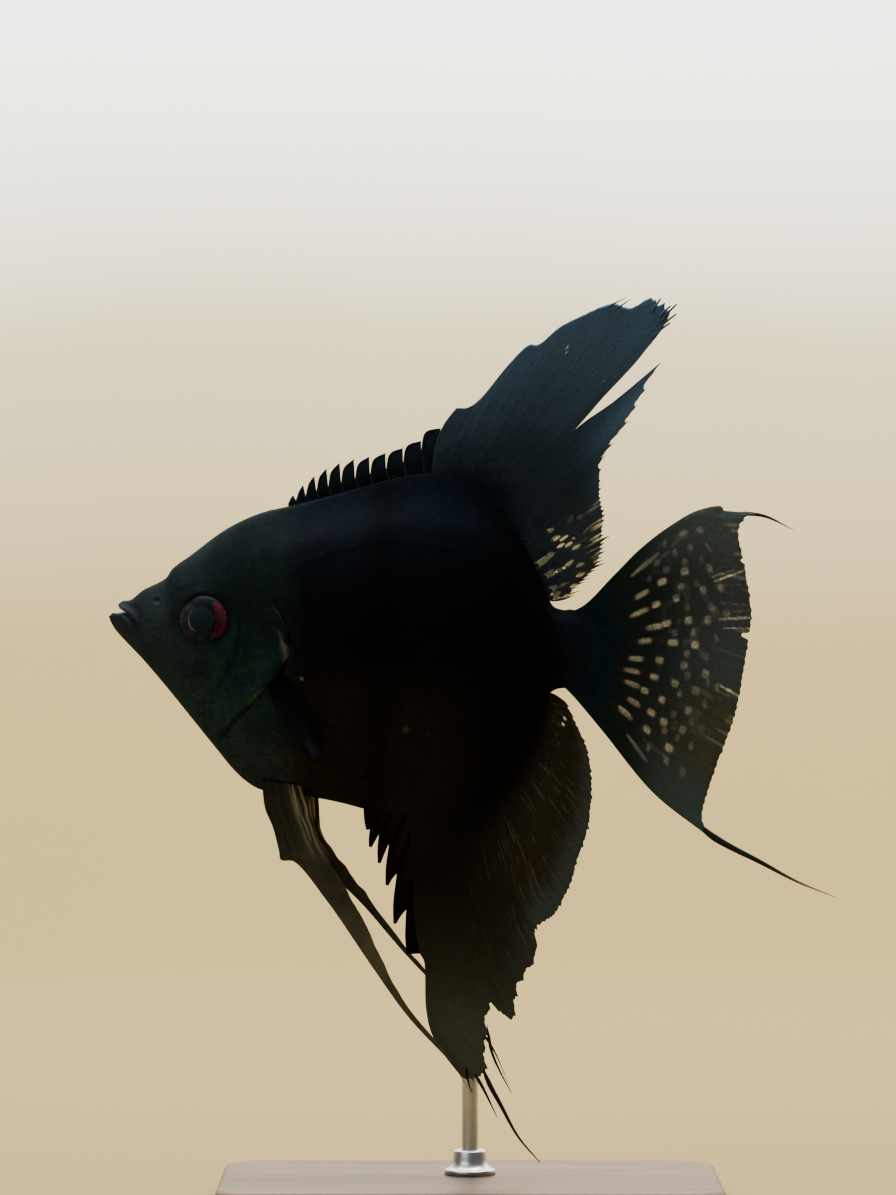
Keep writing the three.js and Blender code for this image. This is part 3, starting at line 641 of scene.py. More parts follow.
TEAL = rgb(0.0028, 0.0082, 0.0150)
BLACK = rgb(0.0016, 0.0021, 0.0025)
OLIVE = rgb(0.0165, 0.0122, 0.0055)
RUST = rgb(0.0160, 0.0072, 0.0030)
SLATE = rgb(0.0260, 0.0370, 0.0410)
COVER = rgb(0.0065, 0.0150, 0.0150)
MOSS = rgb(0.0155, 0.0420, 0.0300)
THROAT = rgb(0.0175, 0.0370, 0.0370)
BREAST = rgb(0.0280, 0.0340, 0.0360)
STALK = rgb(0.0130, 0.0205, 0.0330)
LEMON = rgb(0.130, 0.170, 0.090)
PEARL = rgb(0.300, 0.290, 0.250)

BARS = [(-17.5, 3.4, 0.55), (5.5, 5.6, 0.7), (18.5, 3, 0.4)]  # x, half width, strength
# the first, brightest spot is a painted highlight, a glint of light; the others are pale specks
SPECKS_AND_GLINT = [  # x, v, radius, strength
    (-30.1, -10.3, 0.22, 1.0), (-25.9, -9.1, 0.2, 0.09), (-23, -8.3, 0.2, 0.08),
    (-21.2, -9.6, 0.22, 0.09), (-23.9, -12.5, 0.2, 0.08), (-11.5, -19.5, 0.5, 0.2),
    (-43.7, -14.5, 0.3, 0.08), (-43.2, -10.7, 0.26, 0.06), (-7.6, -20.2, 0.25, 0.08),
    (-57.6, -2.9, 0.3, 0.06),
]
GILL_MARKS = [  # line, half width, strength
    ([[-34.3, -1.7], [-33.9, -2.6], [-33.6, -3.3]], 0.36, 0.3),
    ([[-33.7, -3.6], [-33.2, -4.6], [-32.8, -5.9], [-33.3, -7.0]], 0.5, 0.85),
    ([[-39.7, -15], [-38.9, -14.1], [-38.4, -13.5]], 0.3, 0.4),
    ([[-38.6, -13.8], [-37.6, -12.8], [-36.9, -12.3]], 0.16, 0.3),
]


def toward(colour, target, share):
    """The colour moved towards the target by a share of 0..1."""
    return mix(colour, target, np.clip(share, 0, 1)[..., None])


def layered(colour, *layers):
    """The colour with each target laid over it in turn, by the target's share of 0..1."""
    for target, share in layers:
        colour = toward(colour, target, share)
    return colour


def ground(x, v, side):
    """The flank's colour: blue-black above, brown-black below, a greyer face, three darker bars, and painted
    shade on the up-facing brow and lip.
    """
    seed = 10 if side < 0 else 40
    warp = (cloud(x, v, 9, seed) - 0.5) * 9
    rusty = ease(0.52, 0.72, cloud(x, v, 4.2, seed + 4)) * ease(-6, -16, v) * ease(6, -8, x)
    cover = COVER * mix(1.0, 1.5, ease(4, -4, v))[..., None]
    cheek = ease(-51, -46, x) * ease(-34, -39, x) * ease(-4, -9, v + warp * 0.3) * ease(-19, -14, v)
    shade = layered(
        np.broadcast_to(BLACK, np.shape(x) + (3,)),
        (TEAL, ease(2, 20, v + warp * 0.6) * 0.95),
        (OLIVE, ease(-4, -17, v + warp) * ease(8, -12, x + warp) * 0.9),
        (RUST, rusty * 0.45),
        (cover, ease(-31, -36, x + warp * 0.3) * 0.9),
        (BREAST, ease(-29, -38, x) * ease(-17, -25, v + warp * 0.4) * 0.9),
        (THROAT, ease(-35, -44, x) * ease(-7, -15, v + warp * 0.3) * ease(-28, -18, v + 0.2 * x + 8)),
        (MOSS, cheek * ease(0.3, 0.7, cloud(x, v, 2.6, seed + 8)) * 0.85),
        (SLATE, ease(-43, -57, x + warp * 0.3) * ease(-26, -8, v + 0.3 * x + 12)),
    )
    # painted shade: the brow and the top of the upper lip face up into the light from above, and are darkened
    # here
    brow = 0.55 * ease(-46, -55, x) * ease(1.5, 6, v)
    lip = 0.35 * ease(-57, -61, x) * ease(-0.5, 3, v)
    shade = toward(shade * ((1 - lip) * (1 - brow))[..., None], STALK, ease(13, 19, x))
    for bar, half, strength in BARS:
        shade *= (1 - strength * bump(x - bar + warp * 0.25 - v * 0.04, half))[..., None]
    return toward(shade, OLIVE * 2.2, bump(away(x, v, (-35.2, -14), 1.8, 1.4), 1) * 0.6)


def marks(shade, x, v, side):
    """The small pale marks over the ground: specks, one painted glint, and the yellow-green edge of the gill
    cover.
    """
    seed = 22 if side < 0 else 52
    speckle = ease(0.8, 0.95, noise(x, v, 0.9, seed)) * ease(-5, -12, v) * ease(0, -20, x)
    shade = toward(shade, PEARL * 0.1, speckle * 0.35)
    for sx, sv, radius, strength in SPECKS_AND_GLINT:
        shade = toward(shade, PEARL, bump(away(x, v, (sx, sv)), radius) * strength)
    for line, half, strength in GILL_MARKS:
        gap, share, _ = to_curve(line, x, v, samples=24)
        body = bump(gap, half * (0.35 + 0.9 * np.sin(np.pi * np.clip(share, 0.05, 0.95))))
        shade = toward(shade, LEMON, body * strength * mix(0.6, 1, noise(x, v, 0.6, seed + 3)))
    return shade


# ---- skin ------------------------------------------------------------------------------------------


def mouth_cutter():
    """The open front of the mouth: a wedge that flares sideways, so that the lips come out rounded."""
    HALF_WIDTH = 3.2
    outline = along([[-66.6, 1.55], [-64.5, 1.62], [-63, 1.5], [-62.3, 1.62], [-63.05, 2.2], [-63.7, 3.0],
                     [-66.6, 4.6]])(np.linspace(0, 1, 36))
    centre = np.array([-65.4, 2.6])
    pivot = np.array([-62.3, 1.62])  # the wedge's inner end, which moves less than the rest
    rings = []
    for y in np.linspace(-HALF_WIDTH, HALF_WIDTH, 33):
        flare = 1 + 0.16 * abs(y) ** 1.6
        ring = centre + (outline - centre) * flare
        ring = ring + (pivot - centre) * (1 - flare) * 0.7
        rings.append(np.column_stack([ring[:, 0], np.full(len(ring), y), ring[:, 1]]))
    return loft(np.stack(rings))


def make_skin(skin, material):
    """The skin as an object, painted, with the mouth cut into it."""
    x, v = skin.points[..., 0], skin.points[..., 2]
    sides = [marks(ground(x, v, side), x, v, side) for side in (1, -1)]
    tint = np.where((skin.turn < np.pi)[None, :, None], *sides)
    body = make_mesh("skin", *loft(skin.points), material, colours={"tint": tint})
    cutter = make_mesh("mouth_cutter", *mouth_cutter(), material)
    cut = body.modifiers.new("mouth", "BOOLEAN")
    cut.operation = "DIFFERENCE"
    cut.solver = "EXACT"
    cut.object = cutter
    graph = bpy.context.evaluated_depsgraph_get()
    mesh = bpy.data.meshes.new_from_object(body.evaluated_get(graph))
    body.modifiers.clear()
    body.data = mesh
    bpy.data.objects.remove(cutter)
    return body


# ---- coat ------------------------------------------------------------------------------------------

SCALE_PITCH = 1.72  # between scales of one row
ROW_PITCH = 0.86  # between rows; every other row is set back by half a scale
SCALE_GRID = (7, 6)  # points from a scale's root to its free edge, and across it
PATCH = 0.003  # size of a scale on the bake map
MAP_START, MAP_LENGTH = -65, 97  # the stretch of x that the bake map holds
MAP_RIM = 0.02
GILL_GAP = 0.3  # scales stop this short of the gill cover's edge, on both sides

scale_size = through([[-56, 0.46], [-48, 0.53], [-40, 0.66], [-32, 0.84], [-24, 0.96], [-14, 1], [2, 0.98],
                      [12, 0.82], [21, 0.6]])
coat_front = through([
    [-36, -42], [-28, -43.5], [-22, -46.6], [-16, -50], [-11, -51.4], [-7, -50.6], [-4.4, -46], [0, -43],
    [4, -42.6], [7, -45.5], [9, -48], [12, -47.5], [15.5, -43.5], [20, -36], [28, -34],
])


def scale_pattern():
    """One scale: how far back and across its points lie, their height over the skin, and its faces. A last
    point below closes it."""
    rows, columns = SCALE_GRID
    p, q = np.linspace(0, 1, rows)[:, None], np.linspace(-1, 1, columns)[None]
    rear = p * (1 - 0.36 * np.abs(q) ** 2.2)
    across = q * (0.78 + 0.22 * np.sin(np.pi * np.minimum(p * 1.25, 1)))
    lift = 0.022 + 0.05 * rear - 0.012 * across**2 * (1 - 0.4 * p)
    rim = border(rows, columns)
    skirt = np.stack([np.roll(rim, -1), rim, np.full(len(rim), rows * columns)], axis=1)
    return rear.ravel(), across.ravel(), lift.ravel(), [quads(rows, columns), skirt]


REAR, ACROSS, LIFT, SCALE_FACES = scale_pattern()


def scale_tint(tone, x, v, side, rng):
    """Colour of each point of the scales, a little darker towards their free edges."""
    n = len(tone)
    tone = tone * rng.uniform(0.88, 1.12, (n, 1)) * rng.uniform(0.96, 1.04, (n, 3))
    rim = 1.02 - 0.14 * np.append(ease(0.7, 1.0, REAR + 0.2 * np.abs(ACROSS)), 1)
    return marks(tone[:, None] * rim[None, :, None], x, v, side)


def unwrapped(x, share):
    """Place on the unwrapped skin: x, then the right flank from back to belly and the left from belly to
    back, with room beside each for the scales that stand on the fins."""
    up = np.where(share < 0.5, 0.07 + 0.72 * share, 0.57 + 0.72 * (share - 0.5))
    return np.column_stack([MAP_RIM + (1 - 2 * MAP_RIM) * (x - MAP_START) / MAP_LENGTH, up])


def build_scales(name, coat, chosen, material):
    """The chosen scales of a coat as one object, each with its own patch of the bake map."""
    points, tint, home = (part[chosen] for part in coat)
    n, each = points.shape[:2]
    offset = (np.arange(n) * each)[:, None, None]
    faces = [(f[None] + offset).reshape(-1, f.shape[1]) for f in outward(points[n // 2], SCALE_FACES)]
    local = np.column_stack([np.append(REAR - 0.5, 0), np.append(ACROSS * 0.5, 0)])
    maps = {"OFBake": home[:, None] + local[None] * PATCH}
    return make_mesh(name, points, faces, material, maps, {"tint": tint}, flat_end=True)


def ring_place(skin, x, reach, direction, quarter):
    """Where on the ring a point lies that is reach away from the widest level, along the skin."""
    i = np.clip(np.searchsorted(skin.x, x), 0, len(skin.x) - 1)
    steps = quarter + direction * np.arange(RING // 4)
    ring = skin.points[i][:, steps % RING]
    length = np.cumsum(np.linalg.norm(np.diff(ring, axis=1), axis=2), axis=1)
    length = np.hstack([np.zeros((len(x), 1)), length])
    out = np.full(len(x), np.nan)
    for n in range(len(x)):
        if reach[n] < length[n, -1] - 0.4:
            out[n] = quarter + direction * np.interp(reach[n], length[n], np.arange(RING // 4))
    return out


def scale_places(skin, side):
    """The root of each scale on one flank as x and ring place, and how its row climbs in ring places per
    millimetre."""
    AHEAD = 0.8  # how far on the climb of a row is measured
    FIRST, LAST = -56.0, 20.5
    ROWS = 70
    steps = [FIRST]
    while steps[-1] < LAST:
        steps.append(steps[-1] + SCALE_PITCH * float(scale_size(steps[-1])))
    quarter = RING // 4 if side > 0 else 3 * RING // 4
    places = []
    for direction in (-1, 1):
        for row in range(0 if direction > 0 else 1, ROWS):
            k = np.arange(len(steps) - 1) + 0.5 * (row % 2)
            x = np.interp(k, np.arange(len(steps)), steps)
            here, ahead = (ring_place(skin, at, row * ROW_PITCH * scale_size(at), direction, quarter)
                           for at in (x, x + AHEAD))
            places.append(np.column_stack([x, here, np.nan_to_num(ahead - here) / AHEAD]))
    places = np.vstack(places)
    return places[~np.isnan(places[:, 1])]


def chosen_places(skin, side):
    """The places of the scales on one flank with their points on the skin, and for each scale whether it
    lies on the gill cover and whether it is near the cover's edge. A place just in front of the edge also
    gives a scale to the body behind it."""
    BARE_EYE, LAST_X = 6, 20.2
    BARE_RIM, SHARED, NEAR = 0.6, 1.5, 3.4  # from the gill cover's edge
    places = scale_places(skin, side)
    root = skin.sample(skin.points, places[:, 0], places[:, 1])
    x, v = root[:, 0], root[:, 2]
    past, share = past_edge(GILL_EDGE, x, v)
    beside = (share > 0.02) & (share < 0.98)
    kept = (x > coat_front(v)) & (away(x, v, (EYE_X, EYE_V)) > BARE_EYE) & (x < LAST_X)
    kept &= away(x, v, SHOULDER, 0.9, 2.2) > 1
    shared = kept & beside & (past > -SHARED) & (past < 0)
    kept &= ~(beside & (past > -BARE_RIM) & (past < 0))
    chosen = np.concatenate([np.flatnonzero(kept), np.flatnonzero(shared)])
    on_cover = (np.arange(len(chosen)) < kept.sum()) & (past[chosen] < 0)
    near = (beside & (np.abs(past) < NEAR))[chosen]
    return places[chosen], root[chosen], on_cover, near


def closed_scales(top, down):
    """The scales' top points, each scale with the last point that closes it below its middle."""
    return np.concatenate([top, top.mean(axis=1, keepdims=True) - down], axis=1)


def flank_scales(skin, side):
    """The scales of one flank as points, tints and places on the unwrapped skin. They keep to their own
    side of the gill cover's edge."""
    LONG, WIDE, DEEP = 1.42, 1.2, 0.18  # length and width in pitches, depth in millimetres
    rng = np.random.default_rng(SEED + 100 + side)
    places, root, on_cover, near = chosen_places(skin, side)
    n = len(places)
    size = scale_size(root[:, 0]) * rng.uniform(0.94, 1.06, n)
    dx = REAR[None] * (SCALE_PITCH * LONG * size)[:, None]
    dr = ACROSS[None] * (ROW_PITCH * WIDE * size)[:, None] + dx * rng.normal(0, 0.03, n)[:, None]
    step = skin.sample(np.roll(skin.points, -1, axis=1) - skin.points, places[:, 0], places[:, 1])
    per_ring = np.maximum(np.linalg.norm(step, axis=-1), 0.04)[:, None]
    sx = np.minimum(places[:, :1] + dx, 21.8)
    sj = places[:, 1:2] + dr / per_ring + dx * places[:, 2:]
    flat = skin.sample(skin.points, sx[near], sj[near])
    gap, _ = past_edge(GILL_EDGE, flat[..., 0], flat[..., 2])
    ahead, behind = np.minimum(-GILL_GAP - gap, 0), np.maximum(GILL_GAP - gap, 0)
    sx[near] += np.where(on_cover[near][:, None], ahead, behind) / 0.75  # the edge slants
    high = LIFT[None] * (0.7 + 0.3 * size[:, None]) * rng.uniform(0.85, 1.15, (n, 1))
    normals = skin.sample(skin.normals, sx, sj)
    top = skin.sample(skin.points, sx, sj) + normals * high[..., None]
    points = closed_scales(top, normals.mean(axis=1, keepdims=True) * DEEP)
    tint = scale_tint(ground(root[:, 0], root[:, 2], side), points[..., 0], points[..., 2], side, rng)
    return points, tint, unwrapped(root[:, 0], (places[:, 1] % RING) / RING)


def foot_rows(fin, low, high, rng):
    """Rows of scales over the foot of a fin, from low to high above its root line. Gives each scale's s and
    t on the fin, its size and height, and how far the rays reach as a function of s."""
    LARGE, SMALL = 0.82, 0.42
    SPACING, ROW_STEP = 1.3, 0.62  # for a scale of size 1
    surface = patch(fin)
    share = np.linspace(0, 1, 60)
    line = surface(share, 0.0)
    length = np.linalg.norm(np.diff(line, axis=0), axis=1).sum()
    reaches = np.linalg.norm(surface(share, 0.3) - line, axis=1) / 0.3
    reach = lambda s: np.interp(s, share, reaches)
    found, level, row = [], low, 0
    while level < high:
        climbed = (level - low) / (high - low)
        size = mix(LARGE, SMALL, climbed)
        s = (np.arange(0.4, length - 0.3, SPACING * size) + (row % 2) * SPACING / 2 * size) / length
        t = level / reach(s)
        ragged_end = rng.random(len(s)) < 1.6 * (1.06 - climbed)
        keep = (s > fin["bare"]) & (s < 1 - fin["bare"]) & (t < 0.6) & ragged_end
        found.append(np.column_stack([s, t, np.full(len(s), size), np.full(len(s), level)])[keep])
        level += ROW_STEP * size
        row += 1
    return *np.vstack(found).T, reach


def foot_home(fin, side, x, s, height):
    """Places of a fin's foot scales on the unwrapped skin: beside the edge of their flank, or on the tail's
    stretch of it."""
    if fin["home"] == "tail":
        return unwrapped(x, mix(0.1, 0.4, s) if side > 0 else mix(0.9, 0.6, s))
    above = fin["home"] == "back"
    edge = {(True, 1): 0.07, (True, -1): 0.93, (False, 1): 0.43, (False, -1): 0.57}[above, side]
    off = -side if above else side
    return np.column_stack([unwrapped(x, 0 * s)[:, 0], edge + off * 0.006 * height])


def foot_scales(fin, looks, side, low, high, seed):
    """Small scales that run out from the body over the foot of a fin, from low to high above its root line,
    and shrink on the way, in the fin's own colours."""
    LONG, WIDE, DEEP = 1.6, 0.78, 0.12  # length and width for size 1, depth in millimetres
    rng = np.random.default_rng(SEED + seed + side)
    s, t, size, level, reach = foot_rows(fin, low, high, rng)
    surface = patch(fin)
    root = surface(s, t)
    ray = unit(surface(s, t + 0.02) - root)
    ahead = unit(ray * 0.65 + [0.35, 0])  # between the ray and the rows on the flank
    aside = np.column_stack([-ahead[:, 1], ahead[:, 0]])
    back_by, aside_by = REAR[None] * LONG * size[:, None], ACROSS[None] * WIDE * size[:, None]
    flat = root[:, None] + ahead[:, None] * back_by[..., None] + aside[:, None] * aside_by[..., None]
    t_here = t[:, None] + back_by / reach(s)[:, None]
    out = fin_half(t_here) + LIFT[None] * size[:, None] * rng.uniform(0.8, 1.1, (len(s), 1))
    top = np.stack([flat[..., 0], side * out, flat[..., 1]], axis=-1)
    points = closed_scales(top, np.array([0, side * DEEP, 0]))
    tone, _ = looks(s * fin["rays"], t, root[:, 0], root[:, 1])
    tint = scale_tint(tone, points[..., 0], points[..., 2], side, rng)
    return points, tint, foot_home(fin, side, root[:, 0], s, level - low)


def make_coat(skin, material):
    """The coat of both flanks, in pieces from the head to the fins."""
    parts = (("head", -99, -31), ("shoulder", -31, -8), ("rear", -8, 99))  # name, from x, to x
    feet = (  # fin, looks, from and to above its root line, seed
        (DORSAL_FRONT, dorsal_looks(True), 1.4, 8.5, 200),
        (DORSAL_REAR, dorsal_looks(False), 1.4, 7.5, 210),
        (ANAL_SOFT, anal_looks, 1.2, 9, 220),
        (CAUDAL, caudal_looks, 2.5, 9.5, 230),
    )
    for side_name, side in SIDES.items():
        coat = flank_scales(skin, side)
        x = coat[0][:, 0, 0]
        for part, low, high in parts:
            scales = build_scales(f"scales_{side_name}_{part}", coat, (x >= low) & (x < high), material)
            piece(scales, "body_skin")
        on_fins = [foot_scales(fin, looks, side, *place) for fin, looks, *place in feet]
        coat = [np.concatenate(arrays) for arrays in zip(*on_fins)]
        piece(build_scales(f"scales_{side_name}_fins", coat, slice(None), material), "body_skin")


# ---- eyes ------------------------------------------------------------------------------------------

PUPIL_SHIFT = 0.36  # the pupil sits a little forward in the iris
PUPIL_RIM = 2.16


LENS = rgb(0.0160, 0.0320, 0.0360)
IRIS_LOW, IRIS_HIGH = rgb(0.0170, 0.0270, 0.0300), rgb(0.0070, 0.0130, 0.0140)
VIOLET = rgb(0.037, 0.031, 0.038)
WINE = rgb(0.020, 0.0055, 0.0070)
CRESCENT = rgb(0.088, 0.024, 0.036)
FRONT_RIM = rgb(0.048, 0.045, 0.043)
SILVER = rgb(0.17, 0.175, 0.17)
DULL_SILVER = rgb(0.05, 0.047, 0.043)


def iris_colour(a, b):
    """A teal-black lens with a fine silver rim, a violet-brown iris in front, a dull red one behind, and
    painted shade on the upper rim.

    a and b run back and up from the middle of the eye, in millimetres.
    """
    r = np.hypot(a + PUPIL_SHIFT, b)
    outer = np.hypot(a, b)
    turn = np.degrees(np.arctan2(b, a + PUPIL_SHIFT)) % 360
    level = ease(3.7, 2.2, np.abs(b))
    red = ease(1.8, 2.6, a + 0.09 * b * b) * ease(4.5, 4.15, outer) * ease(3.5, 2.7, np.abs(b))
    front = bump(outer - 4.2, 0.22) * ease(2.0, 3.4, -a)
    colour = layered(
        mix(IRIS_LOW, IRIS_HIGH, ease(-3, 3, b)[..., None]),
        (VIOLET, ease(1.0, 2.8, -a) * level * 0.85),
        (WINE, ease(1.3, 1.9, a) * ease(3.4, 2.6, np.abs(b))),
        (CRESCENT, red * mix(0.65, 1, ease(2.4, 3.8, a))),
        (FRONT_RIM, front * level * 0.6),
    )
    # painted shade: the upper outer rim of the eye, which catches the light from above, is darkened
    rim_painted_shade = ease(3.7, 4.15, outer) * ease(1, 3.2, b)
    colour = colour * ((0.7 + 0.6 * noise(turn * 0.16, r * 1.2, 1, 70)) * mix(1, 0.22, rim_painted_shade))[..., None]
    ahead = ease(130, 158, turn) * ease(250, 222, turn) * mix(0.35, 1, ease(165, 195, turn))
    behind = ease(38, 18, np.abs((turn + 180) % 360 - 180))
    return layered(colour, (SILVER, bump(r - 2.34, 0.1) * ahead),
                   (DULL_SILVER, bump(r - 2.36, 0.08) * behind * 0.4), (LENS, ease(2.26, PUPIL_RIM, r)))


def make_eye(side, material):
    """An eyeball, its iris a little lower than its lens. Its rings have a radius r and a height c."""
    IRIS_DROP = 0.05
    turn = np.linspace(0, 2 * np.pi, 160, endpoint=False)[None]
    lens_rings, iris_rings = np.linspace(0.02, 2.1, 20), np.linspace(2.13, 4.42, 54)
    r = np.concatenate([lens_rings, iris_rings, [4.5, 4.55]])
    c = 0.95 * eye_front(r) - IRIS_DROP * ease(PUPIL_RIM, 2.7, r) * ease(4.1, 2.9, r)
    c[-2:] = [0.55, 0.2]  # the last two turn down under the skin
    down = np.linspace(0.05, 1.5, 12)
    shift = np.append(PUPIL_SHIFT * ease(4.2, 1.2, r), 0 * down)
    r, c = np.append(r, EYE_RADIUS * np.cos(down)), np.append(c, -EYE_DEPTH * 0.9 * np.sin(down))
    a, b = r[:, None] * np.cos(turn) - shift[:, None], r[:, None] * np.sin(turn)
    y = SIDES[side] * (EYE_LEVEL + EYE_LEAN * a + c[:, None])
    rings = np.stack([EYE_X + a, y, EYE_V + b], axis=-1)
    return make_mesh(f"eyeball_{side}", *loft(rings), material, colours={"tint": iris_colour(a, b)})


# ---- fins ------------------------------------------------------------------------------------------

NAVY = rgb(0.0200, 0.0310, 0.0440)
STEEL_BLUE = rgb(0.0750, 0.1200, 0.1750)
COAL = rgb(0.0140, 0.0210, 0.0190)
UMBER = rgb(0.0110, 0.0065, 0.0017)
BRONZE = rgb(0.0320, 0.0310, 0.0200)
MOSS_GREY = rgb(0.0660, 0.0800, 0.0820)
SMOKE = rgb(0.0450, 0.0490, 0.0560)
THREAD = rgb(0.0240, 0.0270, 0.0240)
CREAM = rgb(0.42, 0.40, 0.27)
PALE_GREY = rgb(0.270, 0.262, 0.235)
TAN = rgb(0.31, 0.27, 0.20)
RUSSET = rgb(0.040, 0.022, 0.008)
BUFF = rgb(0.28, 0.26, 0.17)
CLEAR_BLACK = rgb(0.0022, 0.0032, 0.0034)
HIGHLIGHT_GREY = rgb(0.024, 0.020, 0.025)

RAY_STEPS = 16  # points from one ray to the next: four to each of a ray's four tips


def patch(fin):
    """A fin's surface between its four edges. With a higher grip the bends of its front and rear edges
    die out sooner, and the rays between them run straighter."""
    root, lead, margin, trail = (along(fin[key]) for key in ("root", "lead", "margin", "trail"))
    grip = fin.get("grip", 1)

    def place(s, t):
        s, t = np.broadcast_arrays(np.asarray(s, float), np.asarray(t, float))
        s, t = s[..., None], t[..., None]
        ray = mix(root(s[..., 0]), margin(s[..., 0]), t)
        front = lead(t[..., 0]) - mix(root(0.0), margin(0.0), t)
        rear = trail(t[..., 0]) - mix(root(1.0), margin(1.0), t)
        return ray + front * (1 - s) ** grip + rear * s**grip

    return place


def fin_half(t):
    """Half the thickness of a soft fin's skin, from its root at 0 to its margin at 1."""
    return mix(0.6, 0.08, np.sqrt(np.clip(t, 0, 1)))


def ray_ridge(u, t, splits=(0.35, 0.68), width=0.07):
    """1 on a ray, 0 between rays. Each ray parts in two at the first split and again at the second."""
    off = np.abs(u - np.round(u))
    first = 0.25 * ease(splits[0], 1.02, t)
    second = 0.125 * ease(splits[1], 1.02, t)
    return bump(np.abs(np.abs(off - first) - second), width)


def add_sheet(bag, grid, half, middle, uv, tint, clear):
    """A closed sheet: the grid of [x, v] twice, half to each side of its middle surface."""
    rows, columns = grid.shape[:2]
    count = rows * columns
    x, v = grid[..., 0], grid[..., 1]
    layers = [np.stack([x, middle + sign * half + 0 * x, v], axis=-1).reshape(-1, 3) for sign in (-1, 1)]
    edge = border(rows, columns)
    following = np.roll(edge, -1)
    rim = np.stack([following, edge, edge + count, following + count], axis=1)
    faces = [quads(rows, columns), quads(rows, columns, start=count, flip=True), rim]
    on_both = lambda values: np.tile(np.reshape(values, (count, -1)), (2, 1))
    uv = np.stack(np.broadcast_arrays(*uv), axis=-1)
    clear = np.broadcast_to(clear, (rows, columns))
    bag.add(np.vstack(layers), faces, FinUV=on_both(uv), tint=on_both(tint), clear=on_both(clear))


def teeth(u, each, seed, sharp=2.4, least=0.3):
    """How far the margin falls back between pointed tips, 0..1: each tips from one ray to the next."""
    MOST = 400
    k = u * each - 0.5
    tips = np.random.default_rng(SEED + seed).uniform(least, 1, MOST)
    tip = np.round(k).astype(int) % MOST
    return 1 - tips[tip] * np.exp(-sharp * 2 * np.abs(k - np.round(k)))


def add_fin(bag, fin, cut, looks, rows):
    """A soft fin: ray ridges, a margin cut back by cut(u) millimetres, and colour and clearness from
    looks(u, t, x, v). u counts the rays and t runs from root to margin."""
    rays = fin["rays"]
    u = np.linspace(0, rays, rays * fin.get("steps", RAY_STEPS) + 1)[None]
    t = np.linspace(0, 1, rows)[:, None] ** 0.92
    surface = patch(fin)
    edge = surface(u / rays, np.ones_like(u))
    ray = edge - surface(u / rays, np.full_like(u, 0.9))  # the last tenth of each ray
    ray_length = np.linalg.norm(ray, axis=-1)
    rim = np.gradient(edge, axis=1)
    slant = np.abs(ray[..., 0] * rim[..., 1] - ray[..., 1] * rim[..., 0])
    slant /= ray_length * np.linalg.norm(rim, axis=-1)
    share = cut(u) / np.maximum(slant, 0.3) / (10 * ray_length)
    T = t * (1 - np.clip(share, 0, 0.5) * ease(0.5, 1, t))  # t with the margin cut back
    grid = surface(u / rays + 0 * t, T)
    ridge = ray_ridge(u, T)
    half = fin_half(T) + mix(0.04, 0.012, T) * ridge * ease(0, 0.1, T)
    half *= 1 - 0.7 * ease(0.985, 1, t)
    wave = 0.3 * ease(0.2, 1, T) * np.sin(u * 0.9 + 2.2 * T + fin["seed"])
    tint, clear = looks(u + 0 * T, T, grid[..., 0], grid[..., 1])
    add_sheet(bag, grid, half, wave, (u, T * 3), tint * mix(1.03, 0.98, ridge)[..., None], clear)


def add_threads(bag, threads, tint, clear):
    """Rays that run out as tapered threads. They clear towards their tips, up to clear."""
    STEPS, AROUND, FLAT = 48, 10, 0.4
    share = np.linspace(0, 1, STEPS)
    fade = clear * ease(0.45, 1, np.append(np.repeat(share, AROUND), [0, 1]))
    for path, (thick, thin) in threads:
        radii = mix(thick, thin, share**0.8) * mix(0.12, 1, ease(0, 0.25, share))
        bag.add(*tube(along(path)(share), radii, AROUND, FLAT), FinUV=[0.0, 0.5], tint=tint, clear=fade)


def gleams(x, v, streaks):
    """Clear streaks: each from x, v to x, v, with its half width and how clear it is."""
    total = np.zeros_like(x)
    for x0, v0, x1, v1, half, clear in streaks:
        dx, dv = x1 - x0, v1 - v0
        k = np.clip(((x - x0) * dx + (v - v0) * dv) / (dx * dx + dv * dv), 0, 1)
        off = np.hypot(x - x0 - k * dx, v - v0 - k * dv) / (half * (0.6 + 0.5 * np.sin(np.pi * k)))
        total = np.maximum(total, clear * ease(1.3, 0.6, off))
    return total


def hairs(u, t, seed, low, high, share=0.3):
    """Pale hair-fine streaks between the rays' branches, towards the margin."""
    between = 1 - ray_ridge(u, t, width=0.05)
    return between * ease(1 - share, 1.15 - share, noise(u * 4, t * 6, 1, seed)) * ease(low, high, t)


def mottle(u, t, seed, along_ray=60):
    """Fine speckle across the skin between rays: dark grains and short dark strokes along the rays."""
    grains = ease(0.1, 0.7, noise(u * 17, t * along_ray, 1, seed))
    return mix(0.7, 1, grains) * mix(0.7, 1, ease(0.3, 0.5, noise(u * 11, t * 9, 1, seed + 5)))


